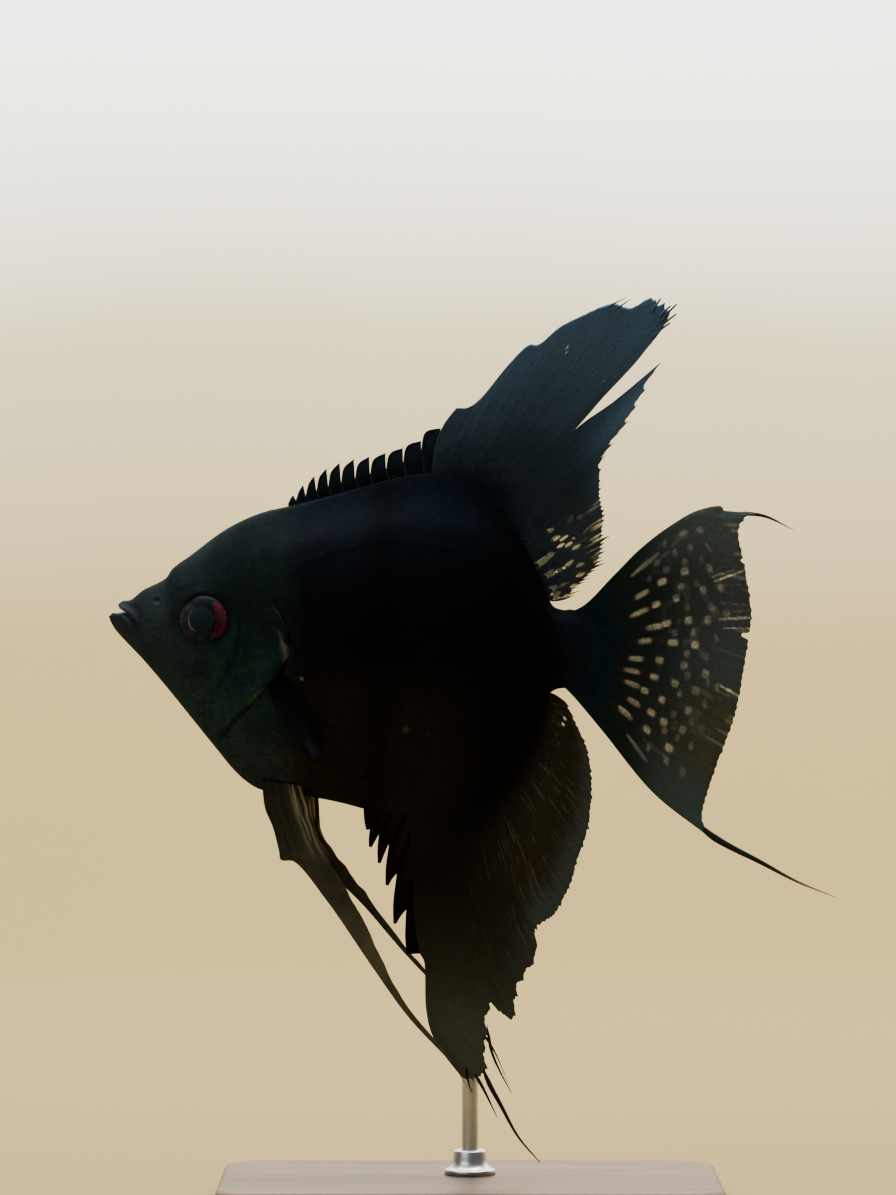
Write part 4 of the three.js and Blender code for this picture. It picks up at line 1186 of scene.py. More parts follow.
DORSAL_FRONT = {
    "rays": 10, "steps": 22, "seed": 11, "home": "back", "bare": 0.02,
    "root": [[-7, 24.5], [-3, 24], [1, 21.4], [3.4, 18.8]],
    "lead": [[-7, 24.5], [-6.4, 31], [-4.7, 35.4], [-2.4, 38.4]],
    "margin": [[-2.4, 38.4], [-0.4, 38.5], [1.7, 39.9], [7.3, 46.6], [10.7, 49.8], [12.2, 49.8], [16.2, 53],
               [19.7, 54.8], [25.8, 57.2], [28.8, 56.4], [33, 58.3], [36.8, 55.9], [34, 52]],
    "trail": [[3.4, 18.8], [12, 27.4], [19.9, 35.5], [23.7, 39.9], [30.2, 46.9], [34, 52]],
}
DORSAL_REAR = {
    "rays": 14, "seed": 12, "home": "back", "bare": 0.04,
    "root": [[3, 19.2], [6.6, 14], [9.6, 8.6], [12, 4.2]],
    "lead": [[3, 19.2], [12, 27.7], [19.8, 35.2], [25.6, 39.3], [34.5, 46.7]],
    "margin": [[34.5, 46.7], [30.4, 38.6], [27.4, 33.4], [24.8, 28.7], [24, 22.8], [25.2, 17.4],
               [24.8, 10.9], [20.6, 5]],
    "trail": [[12, 4.2], [15.4, 3.5], [20.6, 5]],
}
ANAL_SOFT = {
    "rays": 18, "seed": 13, "home": "belly", "bare": 0.03, "grip": 3,
    "root": [[-11, -33], [-4.5, -32.4], [1, -29], [6.4, -22.6], [12.4, -12.4]],
    "lead": [[-11, -33], [-10.4, -46.7], [-9.6, -57], [-9, -59.9], [-8.3, -61.2], [-7.9, -70],
             [-6.7, -74.8], [-2.6, -80.8], [0.8, -84.2]],
    "margin": [[0.8, -84.2], [3.3, -83.2], [3.6, -76.8], [4.3, -70.7], [7.9, -72.6], [9.5, -65.8],
               [12.6, -60.4], [12.9, -55.4], [15.3, -53.5], [18.4, -47.6], [19.4, -44.2], [21.6, -37.4],
               [22.3, -30], [21.5, -23.2], [18, -15.2]],
    "trail": [[12.4, -12.4], [15.2, -13.2], [18, -15.2]],
}
CAUDAL = {
    "rays": 14, "seed": 14, "home": "tail", "bare": 0.12,
    "root": [[16.4, 1.2], [19, -5.2], [16.4, -11.4]],
    "lead": [[16.4, 1.2], [20.2, 2.6], [25.8, 8.1], [30.8, 13.1], [36, 17.1], [41, 19.9], [45.3, 20.6],
             [45.7, 19.9], [46.4, 19.8], [52.5, 19.3]],
    "margin": [[52.5, 19.2], [49.6, 18.1], [48.6, 16.4], [49.9, 8.9], [50.9, 0.8], [49.9, -6.7],
               [47.9, -17], [43.9, -28.3], [42.1, -34.8], [42.6, -38.6]],
    "trail": [[16.4, -11.4], [18.6, -13.6], [23.9, -19.9], [33, -31], [42.6, -38.6]],
}
DORSAL_TORN = [  # torn ray tips along the front lobe's upper edge and at its tip: path, radii of its ends
    ([[23.2, 55.6], [25.9, 57.1], [28.2, 58.2]], [0.3, 0.05]),
    ([[24.4, 55.4], [26.8, 56.5], [29, 58]], [0.34, 0.05]),
    ([[32.4, 55.4], [33.5, 56.8], [34.3, 58.0]], [0.3, 0.14]),
    ([[33.8, 54.4], [34.9, 55.6], [36.1, 56.7]], [0.3, 0.14]),
    ([[34, 53.4], [35.6, 55.4], [37.2, 57.0]], [0.3, 0.14]),
    ([[33.6, 52.2], [35.4, 53.9], [37.1, 55.2]], [0.3, 0.14]),
    ([[32.4, 50.6], [34.3, 52.4], [36.0, 53.6]], [0.3, 0.14]),
]
ANAL_THREADS = [  # path, radii of its ends
    ([[1.6, -79], [3.6, -83.6], [5.4, -86.9], [8.7, -92.9], [12.6, -97.5]], [0.62, 0.08]),
    ([[0.6, -81], [2.6, -84.6], [4.9, -89.4]], [0.45, 0.05]),
    ([[-0.8, -80], [-0.2, -83.4], [0.4, -85]], [0.4, 0.06]),
    ([[3.0, -72.5], [3.9, -77.5], [5.3, -80.9], [7.4, -84.9]], [0.42, 0.06]),
]
CAUDAL_THREADS = [  # path, radii of its ends
    ([[47, 19.4], [52.8, 18.9], [58.2, 16.4]], [0.55, 0.06]),
    ([[39, -34.4], [43.4, -38.6], [52.6, -43.6], [59, -47], [65.7, -49.7]], [0.9, 0.06]),
]


def dorsal_front_cut(u):
    """Nearly smooth up to the torn tip."""
    torn = ease(8.1, 8.4, u)
    return mix(0.1 * teeth(u, 3, 41), 1.8 * teeth(u, 3.3, 42, 1.3, 0.6), torn)


def dorsal_rear_cut(u):
    """Widely spaced spikes along the upper part and a fringe of ray tips below."""
    spikes = 0.8 * teeth(u, 1, 43, 1.7, 0.5) * ease(7, 4, u)
    spikes += mix(0.3, 0.9, ease(3, 5, u)) * teeth(u, 4, 44, 1.6, 0)
    fringe = mix(0.9, 2.3, ease(8, 11, u)) * teeth(u, 4, 45, 1.5, 0.1)
    return mix(spikes, fringe, ease(7.2, 9, u)) * ease(0, 0.6, u)


def anal_cut(u):
    """Fine teeth at the ray tips, coarser down to a frayed tip."""
    coarse = mix(1.0, 0.3, ease(6, 11, u)) * teeth(u, mix(1.4, 2.6, ease(8, 11, u)), 46, 1.8, 0.4)
    return coarse + 0.3 * teeth(u, 4, 47) + 1.4 * ease(1.2, 0.2, u) * teeth(u, 6, 48)


def caudal_cut(u):
    """A finely toothed rear edge with a narrow notch above its middle."""
    notches = 0.5 * bump(u - 2.5, 0.08) + 1.3 * ease(0.15, 0.07, np.abs(u - 5.62))
    return 0.42 * teeth(u, 3.2, 49, 1.6, 0.2) + notches


REAR_WINDOWS = [  # in the rear dorsal lobe
    (11.6, 10, 15.1, 12.1, 0.42, 1), (13.2, 7.8, 16.9, 9.5, 0.42, 1), (16.9, 9.5, 18.5, 10.8, 0.34, 0.8),
    (14.2, 5.6, 17.8, 6.9, 0.3, 0.95), (14.6, 4.7, 16.2, 5.3, 0.32, 0.9), (15, 3.9, 19.2, 5, 0.25, 0.8),
    (18.1, 6, 19.2, 6.5, 0.36, 0.9), (14.7, 14.5, 16.1, 15.2, 0.42, 0.75),
    (13.7, 16, 15, 16.5, 0.42, 0.5), (15.8, 13.2, 16.9, 13.9, 0.3, 0.9),
    (16.3, 14.5, 17.5, 15.3, 0.32, 0.9), (17.2, 13.4, 18.3, 14.1, 0.3, 0.8),
    (18.5, 12.9, 19.8, 13.6, 0.34, 0.75), (18.3, 14.6, 18.9, 15, 0.22, 0.5),
    (19.2, 8, 20.5, 8.6, 0.36, 0.7), (19.2, 9.8, 20.4, 10.3, 0.34, 0.5),
    (22.3, 10.5, 24.4, 11.5, 0.3, 0.7), (17.8, 17.8, 18.4, 18.8, 0.5, 0.2),
    (19.4, 18.5, 20.4, 19, 0.4, 0.22), (20.4, 15.7, 21.4, 17, 0.14, 0.45),
    (21.5, 17, 23.9, 18.6, 0.14, 0.6), (22.1, 14.2, 25, 15.5, 0.16, 0.9),
    (20.7, 13.2, 23.3, 14.5, 0.12, 0.5), (21, 12.1, 24.7, 14.1, 0.13, 0.6),
    (22, 11.4, 23.8, 12.5, 0.13, 0.5), (20.6, 6.9, 22.3, 7.7, 0.2, 0.5),
]


FRONT_SPECKS = [
    (17.45, 49.1, 17.5, 49.6, 0.11, 1), (17.3, 48.2, 17.35, 48.4, 0.1, 1),
    (24.2, 43.3, 24.2, 43.5, 0.1, 0.3),
]
ANAL_SPECKS = [(16.9, -17.3, 17.2, -17.8, 0.2, 1), (16.6, -18.4, 16.9, -18.8, 0.2, 1)]


def dorsal_looks(front):
    """Colour and clearness of a lobe of the dorsal fin: blue-grey, with windows in the rear one. Painted
    shade darkens its foot, and its steel blue higher up is partly its own colour and partly painted light
    through the thin fin.
    """
    def looks(u, t, x, v):
        level = v + 4 * cloud(x, v, 9, 90) - 2 + (0 if front else 16) * ease(0.5, 1, t)
        # painted shade darkens the foot where the fin meets the body; the steel blue higher up is partly the
        # fin's own colour and partly painted light shining through the thin fin
        tint = layered(ground(x, v, -1) * mix(0.7, 1, ease(0, 0.1, t))[..., None],
                       (NAVY, ease(-0.03, 0.2, t)),
                       (STEEL_BLUE, ease(22, 60, level) * ease(0.1, 0.45, t)))
        if front:
            return toward(tint, PEARL * [2.6, 3, 3.6], gleams(x, v, FRONT_SPECKS)), 0 * t
        clear = gleams(x, v, REAR_WINDOWS) * mottle(u, t, 66)
        fringe = hairs(u, t, 61, 0.72, 0.92, 0.4) * ease(7.2, 9, u)
        fringe += 0.6 * hairs(u, t, 63, 0.4, 0.7) * ease(9, 11, u)
        clear = np.clip(np.maximum(clear * 0.72, fringe * 0.5), 0, 0.82)
        smoky = ease(28, 12, v) * ease(0.25, 0.7, t) * 0.75
        return layered(tint, (SMOKE, smoky), (CREAM, clear * 0.8)), clear
    return looks


def anal_looks(u, t, x, v):
    """Brown-black at the foot, bronze behind and grey at the tip, with fine pale and russet strokes."""
    rearward = ease(-3, 17, x - 0.1 * (v + 30) + 5 * cloud(x, v, 7, 33)) * ease(0.1, 0.5, t)
    fine = ease(0.55, 0.9, noise(u * 12, t * 5, 1, 31)) + 0.6 * ease(0.5, 0.9, noise(u * 6, t * 3, 1, 32))
    strokes = ease(0.74, 0.92, noise(u * 15, t * 7, 1, 64)) * ease(0.2, 0.45, t) * ease(0.97, 0.8, t)
    specks = gleams(x, v, ANAL_SPECKS)
    tint = layered(
        ground(x, v, -1),
        (UMBER, ease(0.08, 0.3, t) * 0.95),
        (BRONZE, np.maximum(rearward, ease(-44, -62, v)) * 0.9),
        (MOSS_GREY, ease(0.7, 0.95, t) * ease(4, 9, u) * 0.85),
        (MOSS_GREY * [1.35, 1.15, 0.9], ease(-58, -78, v) * 0.85),
        (RUSSET, fine * ease(0.18, 0.4, t) * ease(1, 0.85, t) * ease(-4, 8, x) * 0.4),
        (TAN, strokes * ease(2, 9, u) * 0.16),
        (PEARL * 4, specks),
    )
    return tint, 0.3 * specks


WINDOW_ROWS = {  # in the tail fin: u of each row, and t of its windows
    3.35: (0.44, 0.565, 0.69, 0.81), 4.35: (0.405, 0.51, 0.625, 0.765), 5.6: (0.497, 0.565, 0.69, 0.785),
    6.55: (0.44, 0.615, 0.738), 7.65: (0.39, 0.546, 0.695, 0.81), 8.6: (0.378, 0.53, 0.663, 0.777),
    9.5: (0.40, 0.492, 0.61, 0.768), 10.45: (0.448, 0.573, 0.662, 0.772), 11.4: (0.42, 0.58, 0.733),
}
FAINT_ROWS = {  # the same for the faint windows between them
    1.5: (0.62, 0.72, 0.8), 2.2: (0.56, 0.66, 0.74, 0.83), 2.8: (0.5, 0.6, 0.7, 0.78),
    3.85: (0.66, 0.74, 0.86), 4.9: (0.68, 0.8, 0.88), 6.1: (0.62, 0.72, 0.84), 7.1: (0.7, 0.8),
    8.1: (0.72, 0.83, 0.88), 9: (0.7, 0.84), 10: (0.7, 0.8, 0.86), 10.9: (0.68, 0.76, 0.84),
    12.1: (0.62, 0.74, 0.84),
}
TAIL_STREAKS = [
    (29.1, 8.1, 33.9, 12.1, 0.4, 0.28), (36.4, 13.5, 38.5, 16, 0.4, 0.12),
    (34.2, 11.1, 35.8, 12.5, 0.35, 0.14), (43.9, 7.05, 49.3, 9.05, 0.17, 0.6),
    (43.6, 7.9, 47.7, 9.2, 0.12, 0.4), (46.9, 1.65, 50.4, 1.9, 0.13, 0.3),
    (45, 0.3, 50.9, 0.6, 0.26, 0.4), (45.5, -1.3, 50.7, -1.4, 0.13, 0.45),
    (45, -11.6, 48.6, -13.7, 0.22, 0.6), (44.4, -12.6, 48, -13.9, 0.13, 0.3),
    (28.3, -20.5, 31.8, -25.3, 0.3, 0.28), (31.2, -21.3, 35.8, -25, 0.3, 0.1),
    (26.9, -15.4, 28.8, -17, 0.3, 0.5), (44, 6.4, 48.6, 6.5, 0.12, 0.2),
    (45.3, 3.2, 49.8, 2.8, 0.12, 0.2),
]


def tail_windows(u, t):
    """How clear the tail fin's rows of windows are, and the dull halo round those near its root."""
    LONG, BRIGHT = (0.052, 0.03, 0.023, 0.019), (0.34, 0.42, 0.36, 0.27)  # from the root to the margin
    HALF_WIDTH = 0.2
    rng = np.random.default_rng(SEED + 22)
    clear, halo = np.zeros_like(u), np.zeros_like(u)
    for row, places in WINDOW_ROWS.items():
        for n, place in enumerate(places):
            long = LONG[n] * rng.uniform(0.85, 1.15)
            bright = BRIGHT[n] * rng.uniform(0.85, 1.1)
            middle_u = row + (place - 0.55) * (-0.7 if row < 6 else 0.4) + rng.uniform(-0.06, 0.06)
            off_u, off_t = (u - middle_u) / HALF_WIDTH, (t - place) / long
            box = ease(1.25, 0.6, (np.abs(off_u) ** 3 + np.abs(off_t) ** 3) ** (1 / 3))
            clear = np.maximum(clear, bright * box)
            halo = np.maximum(halo, ease(1.6, 0.8, np.hypot(off_u, off_t / 1.7)) * ease(0.72, 0.4, place))
    for row, places in FAINT_ROWS.items():
        for place in places:
            off = np.hypot((u - row) / HALF_WIDTH, (t - place) / rng.uniform(0.012, 0.024))
            clear = np.maximum(clear, ease(1.3, 0.5, off) * rng.uniform(0.12, 0.26))
    return clear, halo


def caudal_looks(u, t, x, v):
    """Coal-black at the root and grey outwards, bluer along both edges, with rows of clear windows."""
    tint = layered(
        ground(x, v, -1),
        (STALK * [0.3, 0.8, 0.8], ease(0.02, 0.12, t)),
        (COAL, ease(0.15, 0.4, t)),
        (MOSS_GREY * 1.1, ease(0.4, 0.98, t) * 0.85),
        (STEEL_BLUE * [1.1, 0.85, 0.6], ease(3.8, 1.2, u) * ease(0.35, 0.95, t) * 0.85),
        (STEEL_BLUE * [0.8, 0.72, 0.45], ease(10.6, 13, u) * ease(0.45, 1, t) * 0.85),
    )
    warm = ease(7.5, 9, u) * ease(12.6, 11.4, u) * ease(0.5, 0.9, t)
    tint = tint * mix(1, rgb(1.12, 0.95, 0.72), warm[..., None])
    clear, halo = tail_windows(u, t)
    faint = ease(0.66, 0.9, noise(u * 2, t * 22, 1, 65)) * ease(0.5, 0.62, t) * ease(0.98, 0.85, t)
    fine = hairs(u, t, 62, 0.72, 0.95) * ease(12, 10, u)
    clear = np.maximum(clear, gleams(x, v, TAIL_STREAKS)) * mottle(u, t, 67, 90)
    clear = np.clip(clear + faint * bump(u - 7, 5) * 0.08 + fine * 0.2, 0, 0.8)
    pale = PALE_GREY * [1.0, 1.05, 1.15]
    return layered(tint, (RUSSET, halo * 0.45), (pale, np.minimum(clear * 1.8, 0.8))), clear


SPINE_COUNT = 11
spine_tip_v = through([[0, 22.5], [2, 25.9], [4, 28.3], [7, 30.1], [9, 32.3], [10, 34.6], [11, 38.6]])
dorsal_notch_v = through([
    [-33, 20.9], [-27.5, 23.1], [-20.6, 25.1], [-13, 27.5], [-10.3, 29], [-6.2, 32.8],
])


def dorsal_spines():
    """The spines' tips, close in front and wider behind, and the notches of the skin round them."""
    i = np.arange(SPINE_COUNT)
    tips = np.column_stack([-32 + 1.7 * i + 0.095 * i * i, spine_tip_v(i)])
    notch_x = tips[:, 0] + mix(0.7, 0.1, i / SPINE_COUNT)
    notches = np.column_stack([notch_x, dorsal_notch_v(notch_x)])
    start = np.array([[-32.7, 21]])
    return tips, np.vstack([start, notches])


ANAL_TIPS = [[-18.7, -37.6], [-18.2, -40.7], [-16.6, -43.6], [-15.2, -47.6], [-13.8, -54.5], [-11.4, -60]]
ANAL_NOTCHES = [[-19.2, -33.6], [-17.9, -36.5], [-16.3, -37.4], [-14.6, -40.2], [-13.2, -45.5],
                [-11.5, -52], [-8.9, -59.9]]


def add_spiny_fin(bag, tips, notches, bow, tip_width, foot, tint):
    """Spines with skin between them. Each spine rises from the notch in front of it to its tip, and the
    skin falls from the tip to the next notch. foot(x) is the line on the body that they grow from."""
    tips, notches = np.asarray(tips, float), np.asarray(notches, float)
    up = np.linspace(0, 1, 12)[:, None]
    across = np.concatenate([np.linspace(0, 0.6, 14), np.linspace(0.65, 1, 10)])[None]
    half = mix(0.36, 0.1, up**0.8) * (0.75 + 0.25 * np.cos(across * np.pi * 2))
    for k, tip in enumerate(tips):
        front, rear = notches[k], notches[k + 1]
        bare = tip - front
        knee = mix(front, tip, 0.6) + bow(k) * np.array([-abs(bare[1]), np.sign(bare[1]) * bare[0]])
        rise = along([front, knee, tip])(np.linspace(0, 1, 14))
        fall = along([tip + [tip_width, 0], mix(tip, rear, 0.55) + [0.1, 0], rear])(np.linspace(0, 1, 10))
        top = np.vstack([rise, fall])
        low = mix(foot(front), foot(rear), np.linspace(0, 1, len(top))[:, None])
        grid = mix(low[None], top[None], up[..., None])
        shade = toward(ground(grid[..., 0], grid[..., 1], -1), tint, ease(0.3, 0.9, up) + 0 * across)
        add_sheet(bag, grid, half, 0.0, (across, up), shade, 0.0)
        line = np.vstack([mix(foot(front), front, np.linspace(0, 0.9, 6)[:, None]), rise])
        radii = mix(0.4, 0.1, np.linspace(0, 1, len(line)) ** 0.9)
        bag.add(*tube(line + [tip_width * 0.5 + 0.12, 0], radii), FinUV=[0, 0], tint=tint * 0.8, clear=0)


PELVIC = {
    "left": {
        "front": [[-37.4, -28.6], [-36.8, -33.6], [-35.4, -37], [-34.3, -41.2], [-33.9, -42.9],
                  [-31.7, -43.1], [-25.8, -50], [-17.5, -62.1], [-11.6, -70.4], [-3.3, -79.9],
                  [-0.2, -84.9]],
        "rear": [[-30.2, -29.6], [-28.2, -36.6], [-24.4, -44.9], [-22.6, -47.8], [-19.9, -52.6],
                 [-16.6, -59.2], [-13.9, -64.7], [-10.6, -70], [-2.7, -79.4], [0.4, -84.5]],
        "across": through([[0, -1.7], [0.2, -3.1], [0.5, -3.6], [1, -2.4]]),
    },
    "right": {
        "front": [[-36.4, -28.8], [-35.2, -34], [-31.4, -39.6], [-26.4, -44.6], [-19.7, -50.9],
                  [-11.7, -60.1], [-1.4, -70.8], [3.6, -76.7], [7.4, -85.2]],
        "rear": [[-27.4, -29.8], [-26.8, -37.4], [-23.6, -43], [-21.2, -46], [-16.9, -52.1], [-11.2, -59.4],
                 [-1, -70.3], [4, -76.4], [7.8, -85]],
        "across": through([[0, 1.7], [0.2, 3], [0.5, 2.6], [0.7, 1.3], [1, 1.2]]),
    },
}


def add_pelvic(bag, side):
    """A belly fin: a stout spine in front and five rays that draw together into a long thread."""
    RAYS = 5
    MOST_CLEAR = 0.2
    fin = PELVIC[side]
    seed = 51 if side == "left" else 55
    front, rear = along(fin["front"]), along(fin["rear"])
    u = np.linspace(0, RAYS, RAYS * 8 + 1)[None]
    t = np.linspace(0, 1, 220)[:, None]
    narrow = 0.5 + (u / RAYS - 0.5) * (1 - 0.93 * ease(0.78, 1, t))
    grid = mix(front(t), rear(t), narrow[..., None])
    wear = 0.5 * ease(0, 0.08, t) * ease(0.75, 0.4, t) * (noise(t * 34, 0 * t, 1, seed) - 0.5)
    grid = grid + (wear * ease(RAYS - 1.5, RAYS, u))[..., None] * np.array([0.8, 0.5])
    ridge = bump(u - np.round(u), 0.16)
    half = mix(0.22, 0.12, t) + mix(0.22, 0.08, t**0.5) * ridge + 0.12 * bump(u - 0.3, 0.5) * (1 - t)
    half *= mix(1, 0.35, ease(0.8, 1, t))
    middle_y = fin["across"](t) + 0.25 * np.sin(u * 0.9 + t * 9) * ease(0.02, 0.15, t) * ease(0.6, 0.3, t)
    x, v = grid[..., 0], grid[..., 1]
    tint = toward(BRONZE + 0 * grid[..., :1], MOSS_GREY * [1.4, 1.1, 0.75], ease(-30, -60, v) * 0.9)
    tint = tint * (mix(0.75, 1.25, cloud(x, v, 2.5, seed)) * mix(1, 1.4, ease(-54, -62, v)))[..., None]
    lit = ease(0.4, 0.7, noise(u * 7, t * 16, 1, seed + 2)) * ease(2.8, 4, u) * ease(0.25, 0.12, t)
    add_sheet(bag, grid, half, middle_y, (u, t * 8), toward(tint, BUFF, lit * 0.85), lit * MOST_CLEAR)


PECTORAL = {
    "rays": 11, "root": [[-36.2, -7], [-36.6, -9], [-36.4, -11]],
    "lead": [[-36.2, -7], [-32.2, -10.6], [-28.8, -15.6], [-26.4, -20.8]],
    "margin": [[-26.4, -20.8], [-26, -23.6], [-27.2, -25.4], [-29.6, -24.2]],
    "trail": [[-36.4, -11], [-34.4, -16.6], [-29.6, -24.2]],
}


def add_pectoral(bag, side):
    """A breast fin, smoky and see-through, folded down along the flank, with a painted highlight near its
    tip.
    """
    LEAN = 0.26  # how far it stands away from the flank for each millimetre from its root
    ROOT = (-36.4, -9)
    rays = PECTORAL["rays"]
    flank = BODY_HALF_WIDTH * width_share(-34.5) - 0.9
    u = np.linspace(0, rays, rays * 8 + 1)[None]
    t = np.linspace(0, 1, 64)[:, None]
    between = ease(0.1, 0.5, np.abs(u - np.round(u)))
    T = t * (1 - 0.03 * between * ease(0.8, 1, t))
    grid = patch(PECTORAL)(u / rays + 0 * T, T)
    x, v = grid[..., 0], grid[..., 1]
    ridge = ray_ridge(u, T, (0.5, 0.85), 0.09)
    half = mix(0.16, 0.05, T) + mix(0.16, 0.05, T) * ridge
    y = SIDES[side] * (flank + LEAN * away(x, v, ROOT) + 0.12 * np.sin(u * 1.2) * T)
    off_x, off_v = x + 28.4, v + 22.6  # from the middle of a painted highlight near the tip, which lies aslant
    # painted highlight: a lighter grey patch, less see-through, where light catches the fin
    highlight_patch = bump(np.hypot(off_x * 0.9 + off_v * 0.45, (off_v * 0.9 - off_x * 0.45) / 2), 0.7)
    tint = toward(CLEAR_BLACK + 0 * grid[..., :1], HIGHLIGHT_GREY, highlight_patch * 0.8)
    clear = mix(0.1, 0.55, (1 - ridge) * ease(0.02, 0.3, T)) * (1 - 0.5 * highlight_patch)
    add_sheet(bag, grid, half, y, (u, T * 3), tint, clear)


# ---- the stand -------------------------------------------------------------------------------------


def extent(node):
    """A node's low and high corners in millimetres, with its axis's x and y."""
    low, high = (np.array(c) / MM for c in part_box(node))
    return low, high, (low + high)[:2] / 2


def make_board(material):
    """The base board: its corners and upper edge rounded, and its lower edge bevelled."""
    ROUND, CORNER = 1.1, 7.2  # radii of the upper edge and of the corners
    low, high, (x, y) = extent("stand_base")
    half_length, half_depth = (high - low)[:2] / 2
    height = high[2] - low[2]
    turn = np.linspace(0, np.pi / 2, 9)
    inset = np.concatenate([[0.5, 0.12, 0], ROUND * (1 - np.cos(turn)), [ROUND + 4]])
    level = np.concatenate([[0, 0.18, 0.5], height - ROUND + ROUND * np.sin(turn), [height]])
    quarter = np.linspace(0, np.pi / 2, 14)
    corners = [np.column_stack([cx * (half_length - CORNER) + CORNER * np.cos(quarter + n * np.pi / 2),
                                cy * (half_depth - CORNER) + CORNER * np.sin(quarter + n * np.pi / 2)])
               for n, (cx, cy) in enumerate(((1, 1), (-1, 1), (-1, -1), (1, -1)))]
    outline = np.vstack(corners)
    rings = [np.column_stack([outline * (1 - gap / np.array([half_length, half_depth])) + [x, y],
                              np.full(len(outline), z - AXIS)]) for gap, z in zip(inset, level)]
    return make_mesh("stand_board", *loft(np.stack(rings)), material)


def turned(profile, axis, sides):
    """Rings of a turned piece: profile is [radius, height above the floor]."""
    turn = np.linspace(0, 2 * np.pi, sides, endpoint=False)[None]
    r, z = (column[:, None] for column in np.asarray(profile, float).T)
    return np.stack([axis[0] + r * np.cos(turn), axis[1] + r * np.sin(turn), z - AXIS + 0 * turn], axis=-1)


def make_collar(material):
    """The turned collar that the rod stands in: a foot, a waist and a bevelled top, with a bore."""
    GAP = 0.05  # between the rod and the bore
    low, high, axis = extent("stand_collar")
    outer = (high[0] - low[0]) / 2
    base, top = low[2], high[2]
    rod_low, rod_high, _ = extent("stand_rod")
    bore = (rod_high - rod_low)[0] / 2 + GAP
    foot = [[outer, base], [outer, base + 0.75], [outer - 0.08, base + 0.93], [outer - 0.3, base + 1.02],
            [outer - 0.7, base + 1.15]]
    waist_and_top = [[3.55, base + 1.5], [3.2, base + 2.0], [3.02, base + 2.8], [2.95, top - 0.3],
                     [2.86, top - 0.1], [2.66, top]]
    hole = [[bore + 0.25, top], [bore + 0.06, top - 0.06], [bore, top - 0.25], [bore, base]]
    profile = [[bore, base], *foot, *waist_and_top, *hole]
    rings = turned(profile, axis, 72)
    rows, columns = rings.shape[:2]
    count = (rows - 1) * columns
    points = rings.reshape(-1, 3)[:count]
    faces = outward(points, [quads(rows, columns, closed=True) % count])
    return make_mesh("stand_socket", points, faces, material)


def make_rod(material):
    """The rod, bevelled at its foot and rounded at its top."""
    RINGS = 60
    low, high, axis = extent("stand_rod")
    radius = (high[0] - low[0]) / 2
    middle = np.linspace(low[2] + 0.2, high[2] - 0.8, RINGS)
    z = np.concatenate([[low[2]], middle, [high[2] - 0.3, high[2]]])
    r = np.concatenate([[radius - 0.15], np.full(RINGS, radius), [radius - 0.15, radius - 0.7]])
    return make_mesh("stand_post", *loft(turned(np.column_stack([r, z]), axis, 56)), material)


# ---- the fish --------------------------------------------------------------------------------------


def make_fin(name, node, material, *parts):
    """One fin. Each part is the function that adds to the fin's bag, with what it takes."""
    bag = Bag()
    for add, *what in parts:
        add(bag, *what)
    piece(bag.build(name, material), "fin_skin", node)


def make_fish():
    """Skin, coat, eyes and fins."""
    skin, fins, eye = Skin(), fin_material(), eye_material()
    body = make_skin(skin, skin_material("body_skin", 0.03))
    piece(body, "body_skin", "head", "upper_jaw", "lower_jaw", "trunk", "tail_stalk", "gill_cover_left",
          "gill_cover_right")
    make_coat(skin, skin_material("scale_skin", 0.02))
    for side in SIDES:
        piece(make_eye(side, eye), "eye", f"eye_{side}")
        make_fin(f"pectoral_{side}", f"pectoral_fin_{side}", fins, (add_pectoral, side))
        make_fin(f"pelvic_{side}", f"pelvic_fin_{side}", fins, (add_pelvic, side))

    on_back = lambda p: np.array([p[0] + 0.6, float(back(p[0])) - 1.6])
    on_belly = lambda p: np.array([min(p[0] + 3.5, -9), -33.0])
    bow = lambda k: mix(0.04, 0.32, k / SPINE_COUNT)  # the spines behind are more curved
    make_fin("dorsal_spines", "dorsal_fin_spiny", fins,
             (add_spiny_fin, *dorsal_spines(), bow, 0.2, on_back, NAVY * 0.8))
    make_fin("anal_spines", "anal_fin_spiny", fins,
             (add_spiny_fin, ANAL_TIPS, ANAL_NOTCHES, lambda k: 0.03, 0.55, on_belly, UMBER * 0.6))
    make_fin("dorsal_soft", "dorsal_fin_soft", fins,
             (add_fin, DORSAL_FRONT, dorsal_front_cut, dorsal_looks(True), 90),
             (add_fin, DORSAL_REAR, dorsal_rear_cut, dorsal_looks(False), 118),
             # the torn tips take the same steel blue, partly painted light through the thin fin
             (add_threads, DORSAL_TORN, STEEL_BLUE * 0.8, 0))
    make_fin("anal_soft", "anal_fin_soft", fins, (add_fin, ANAL_SOFT, anal_cut, anal_looks, 150),
             (add_threads, ANAL_THREADS, THREAD, 0))
    make_fin("caudal_soft", "caudal_fin", fins, (add_fin, CAUDAL, caudal_cut, caudal_looks, 190),
             (add_threads, CAUDAL_THREADS, THREAD, 0.5))


def make_stand():
    steel = steel_material()
    piece(make_board(wood_material()), "stand_board", "stand_base")
    piece(make_collar(steel), "stand_metal", "stand_collar")
    piece(make_rod(steel), "stand_metal", "stand_rod")


# ---- backdrop, light and camera --------------------------------------------------------------------


# painted light: the paper darkens and warms towards the floor, as the light from above falls off
BACKDROP_PAINTED_LIGHT = [  # height in metres, colour
    (0.0, (0.25, 0.19, 0.083)), (0.09, (0.285, 0.22, 0.105)), (0.2, (0.43, 0.385, 0.25)),
    (0.32, (1.0, 1.0, 0.97)),
]


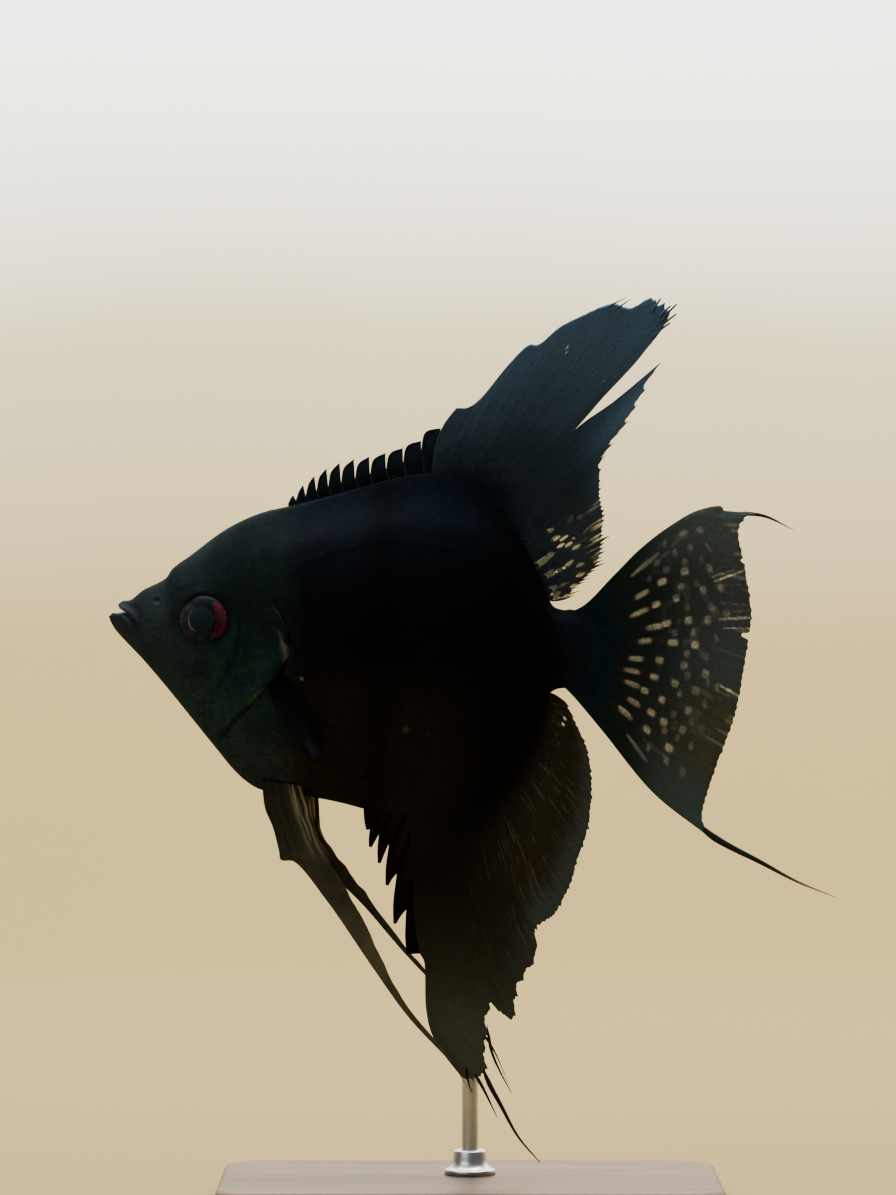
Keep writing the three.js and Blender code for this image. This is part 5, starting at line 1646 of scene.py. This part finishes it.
def backdrop_material():
    """Matt paper whose colour darkens to sand at the floor and whitens towards the top: painted light falling
    off towards the floor.
    """
    m = Shader("backdrop_paper", Specular_IOR_Level=0.2, Roughness=0.9)
    place = m.node("ShaderNodeSeparateXYZ", Vector=m.place()).outputs["Z"]
    height = m.sums("ADD", place, m.scaled(m.noise(3, 2), -0.02, 0.02))
    m.set(Base_Color=m.ramp(height, *BACKDROP_PAINTED_LIGHT))
    m.relief(m.noise(900, 2), 0.02)
    return m.material


def make_backdrop():
    """A floor that sweeps up into the wall behind, in metres."""
    REACH, WALL, BEND, TOP = 1.6, 0.95, 0.35, 1.6
    ALONG = 12  # points along the floor
    turn = np.linspace(0, np.pi / 2, 16)
    floor = np.linspace(-REACH, WALL - BEND, ALONG)[:-1]
    y = np.concatenate([floor, WALL - BEND + BEND * np.sin(turn), [WALL]])
    z = np.concatenate([0 * floor, BEND - BEND * np.cos(turn), [TOP]])
    x = np.linspace(-REACH, REACH, 9)
    grid = np.stack(np.broadcast_arrays(x[None], y[:, None], z[:, None]), axis=-1)
    points = grid.reshape(-1, 3) / MM - [0, 0, AXIS]
    backdrop = make_mesh("backdrop", points, [quads(len(y), len(x))], backdrop_material())


def area_light(name, place, target, size, power, colour):
    """A soft box at a place, turned to a target; places and sizes in metres, power in watts."""
    data = bpy.data.lights.new(name, "AREA")
    data.shape = "RECTANGLE"
    data.size, data.size_y = size
    data.energy = power
    data.color = colour
    lamp = bpy.data.objects.new(name, data)
    lamp.location = place
    lamp.rotation_euler = (Vector(target) - Vector(place)).to_track_quat("-Z", "Y").to_euler()
    bpy.context.scene.collection.objects.link(lamp)


def make_light():
    """A wash on the wall, a soft box above, one in front and a weak one behind."""
    world = bpy.data.worlds.new("studio")
    world.use_nodes = True
    sky = world.node_tree.nodes["Background"]
    sky.inputs["Color"].default_value = (0.93, 0.95, 1, 1)
    sky.inputs["Strength"].default_value = 0.16
    bpy.context.scene.world = world
    area_light("wash", (0, 0.1, 1.3), (0, 0.95, 0.45), (1.6, 0.5), 60, (1, 0.98, 0.95))
    area_light("top", (-0.1, 0.05, 1.0), (0, 0.02, 0.1), (0.7, 0.7), 3, (0.86, 0.94, 1))
    area_light("front", (-0.75, -0.9, 0.75), (-0.01, 0, 0.11), (0.8, 0.8), 5.5, (0.86, 0.95, 1))
    area_light("rear", (0.7, 0.55, 0.5), (0, 0, 0.12), (0.5, 0.6), 2.5, (1, 0.96, 0.9))


def make_camera():
    """Square on the left flank, framed as in the photograph."""
    DISTANCE = 0.9
    SENSOR = 36.0
    FRAME_HEIGHT = 0.2151  # what the picture's height covers at the fish
    data = bpy.data.cameras.new("camera")
    data.sensor_width = SENSOR
    data.lens = SENSOR * DISTANCE / FRAME_HEIGHT
    data.clip_start = 0.01
    camera = bpy.data.objects.new("camera", data)
    camera.location = (-0.00396, -DISTANCE, AXIS * MM + 0.0042)
    camera.rotation_euler = (math.pi / 2, 0, 0)
    bpy.context.scene.collection.objects.link(camera)
    bpy.context.scene.camera = camera


make_camera()
make_fish()
make_stand()
make_backdrop()
make_light()
bpy.context.scene.view_settings.view_transform = "AgX"
bpy.context.scene.view_settings.look = "AgX - Medium High Contrast"
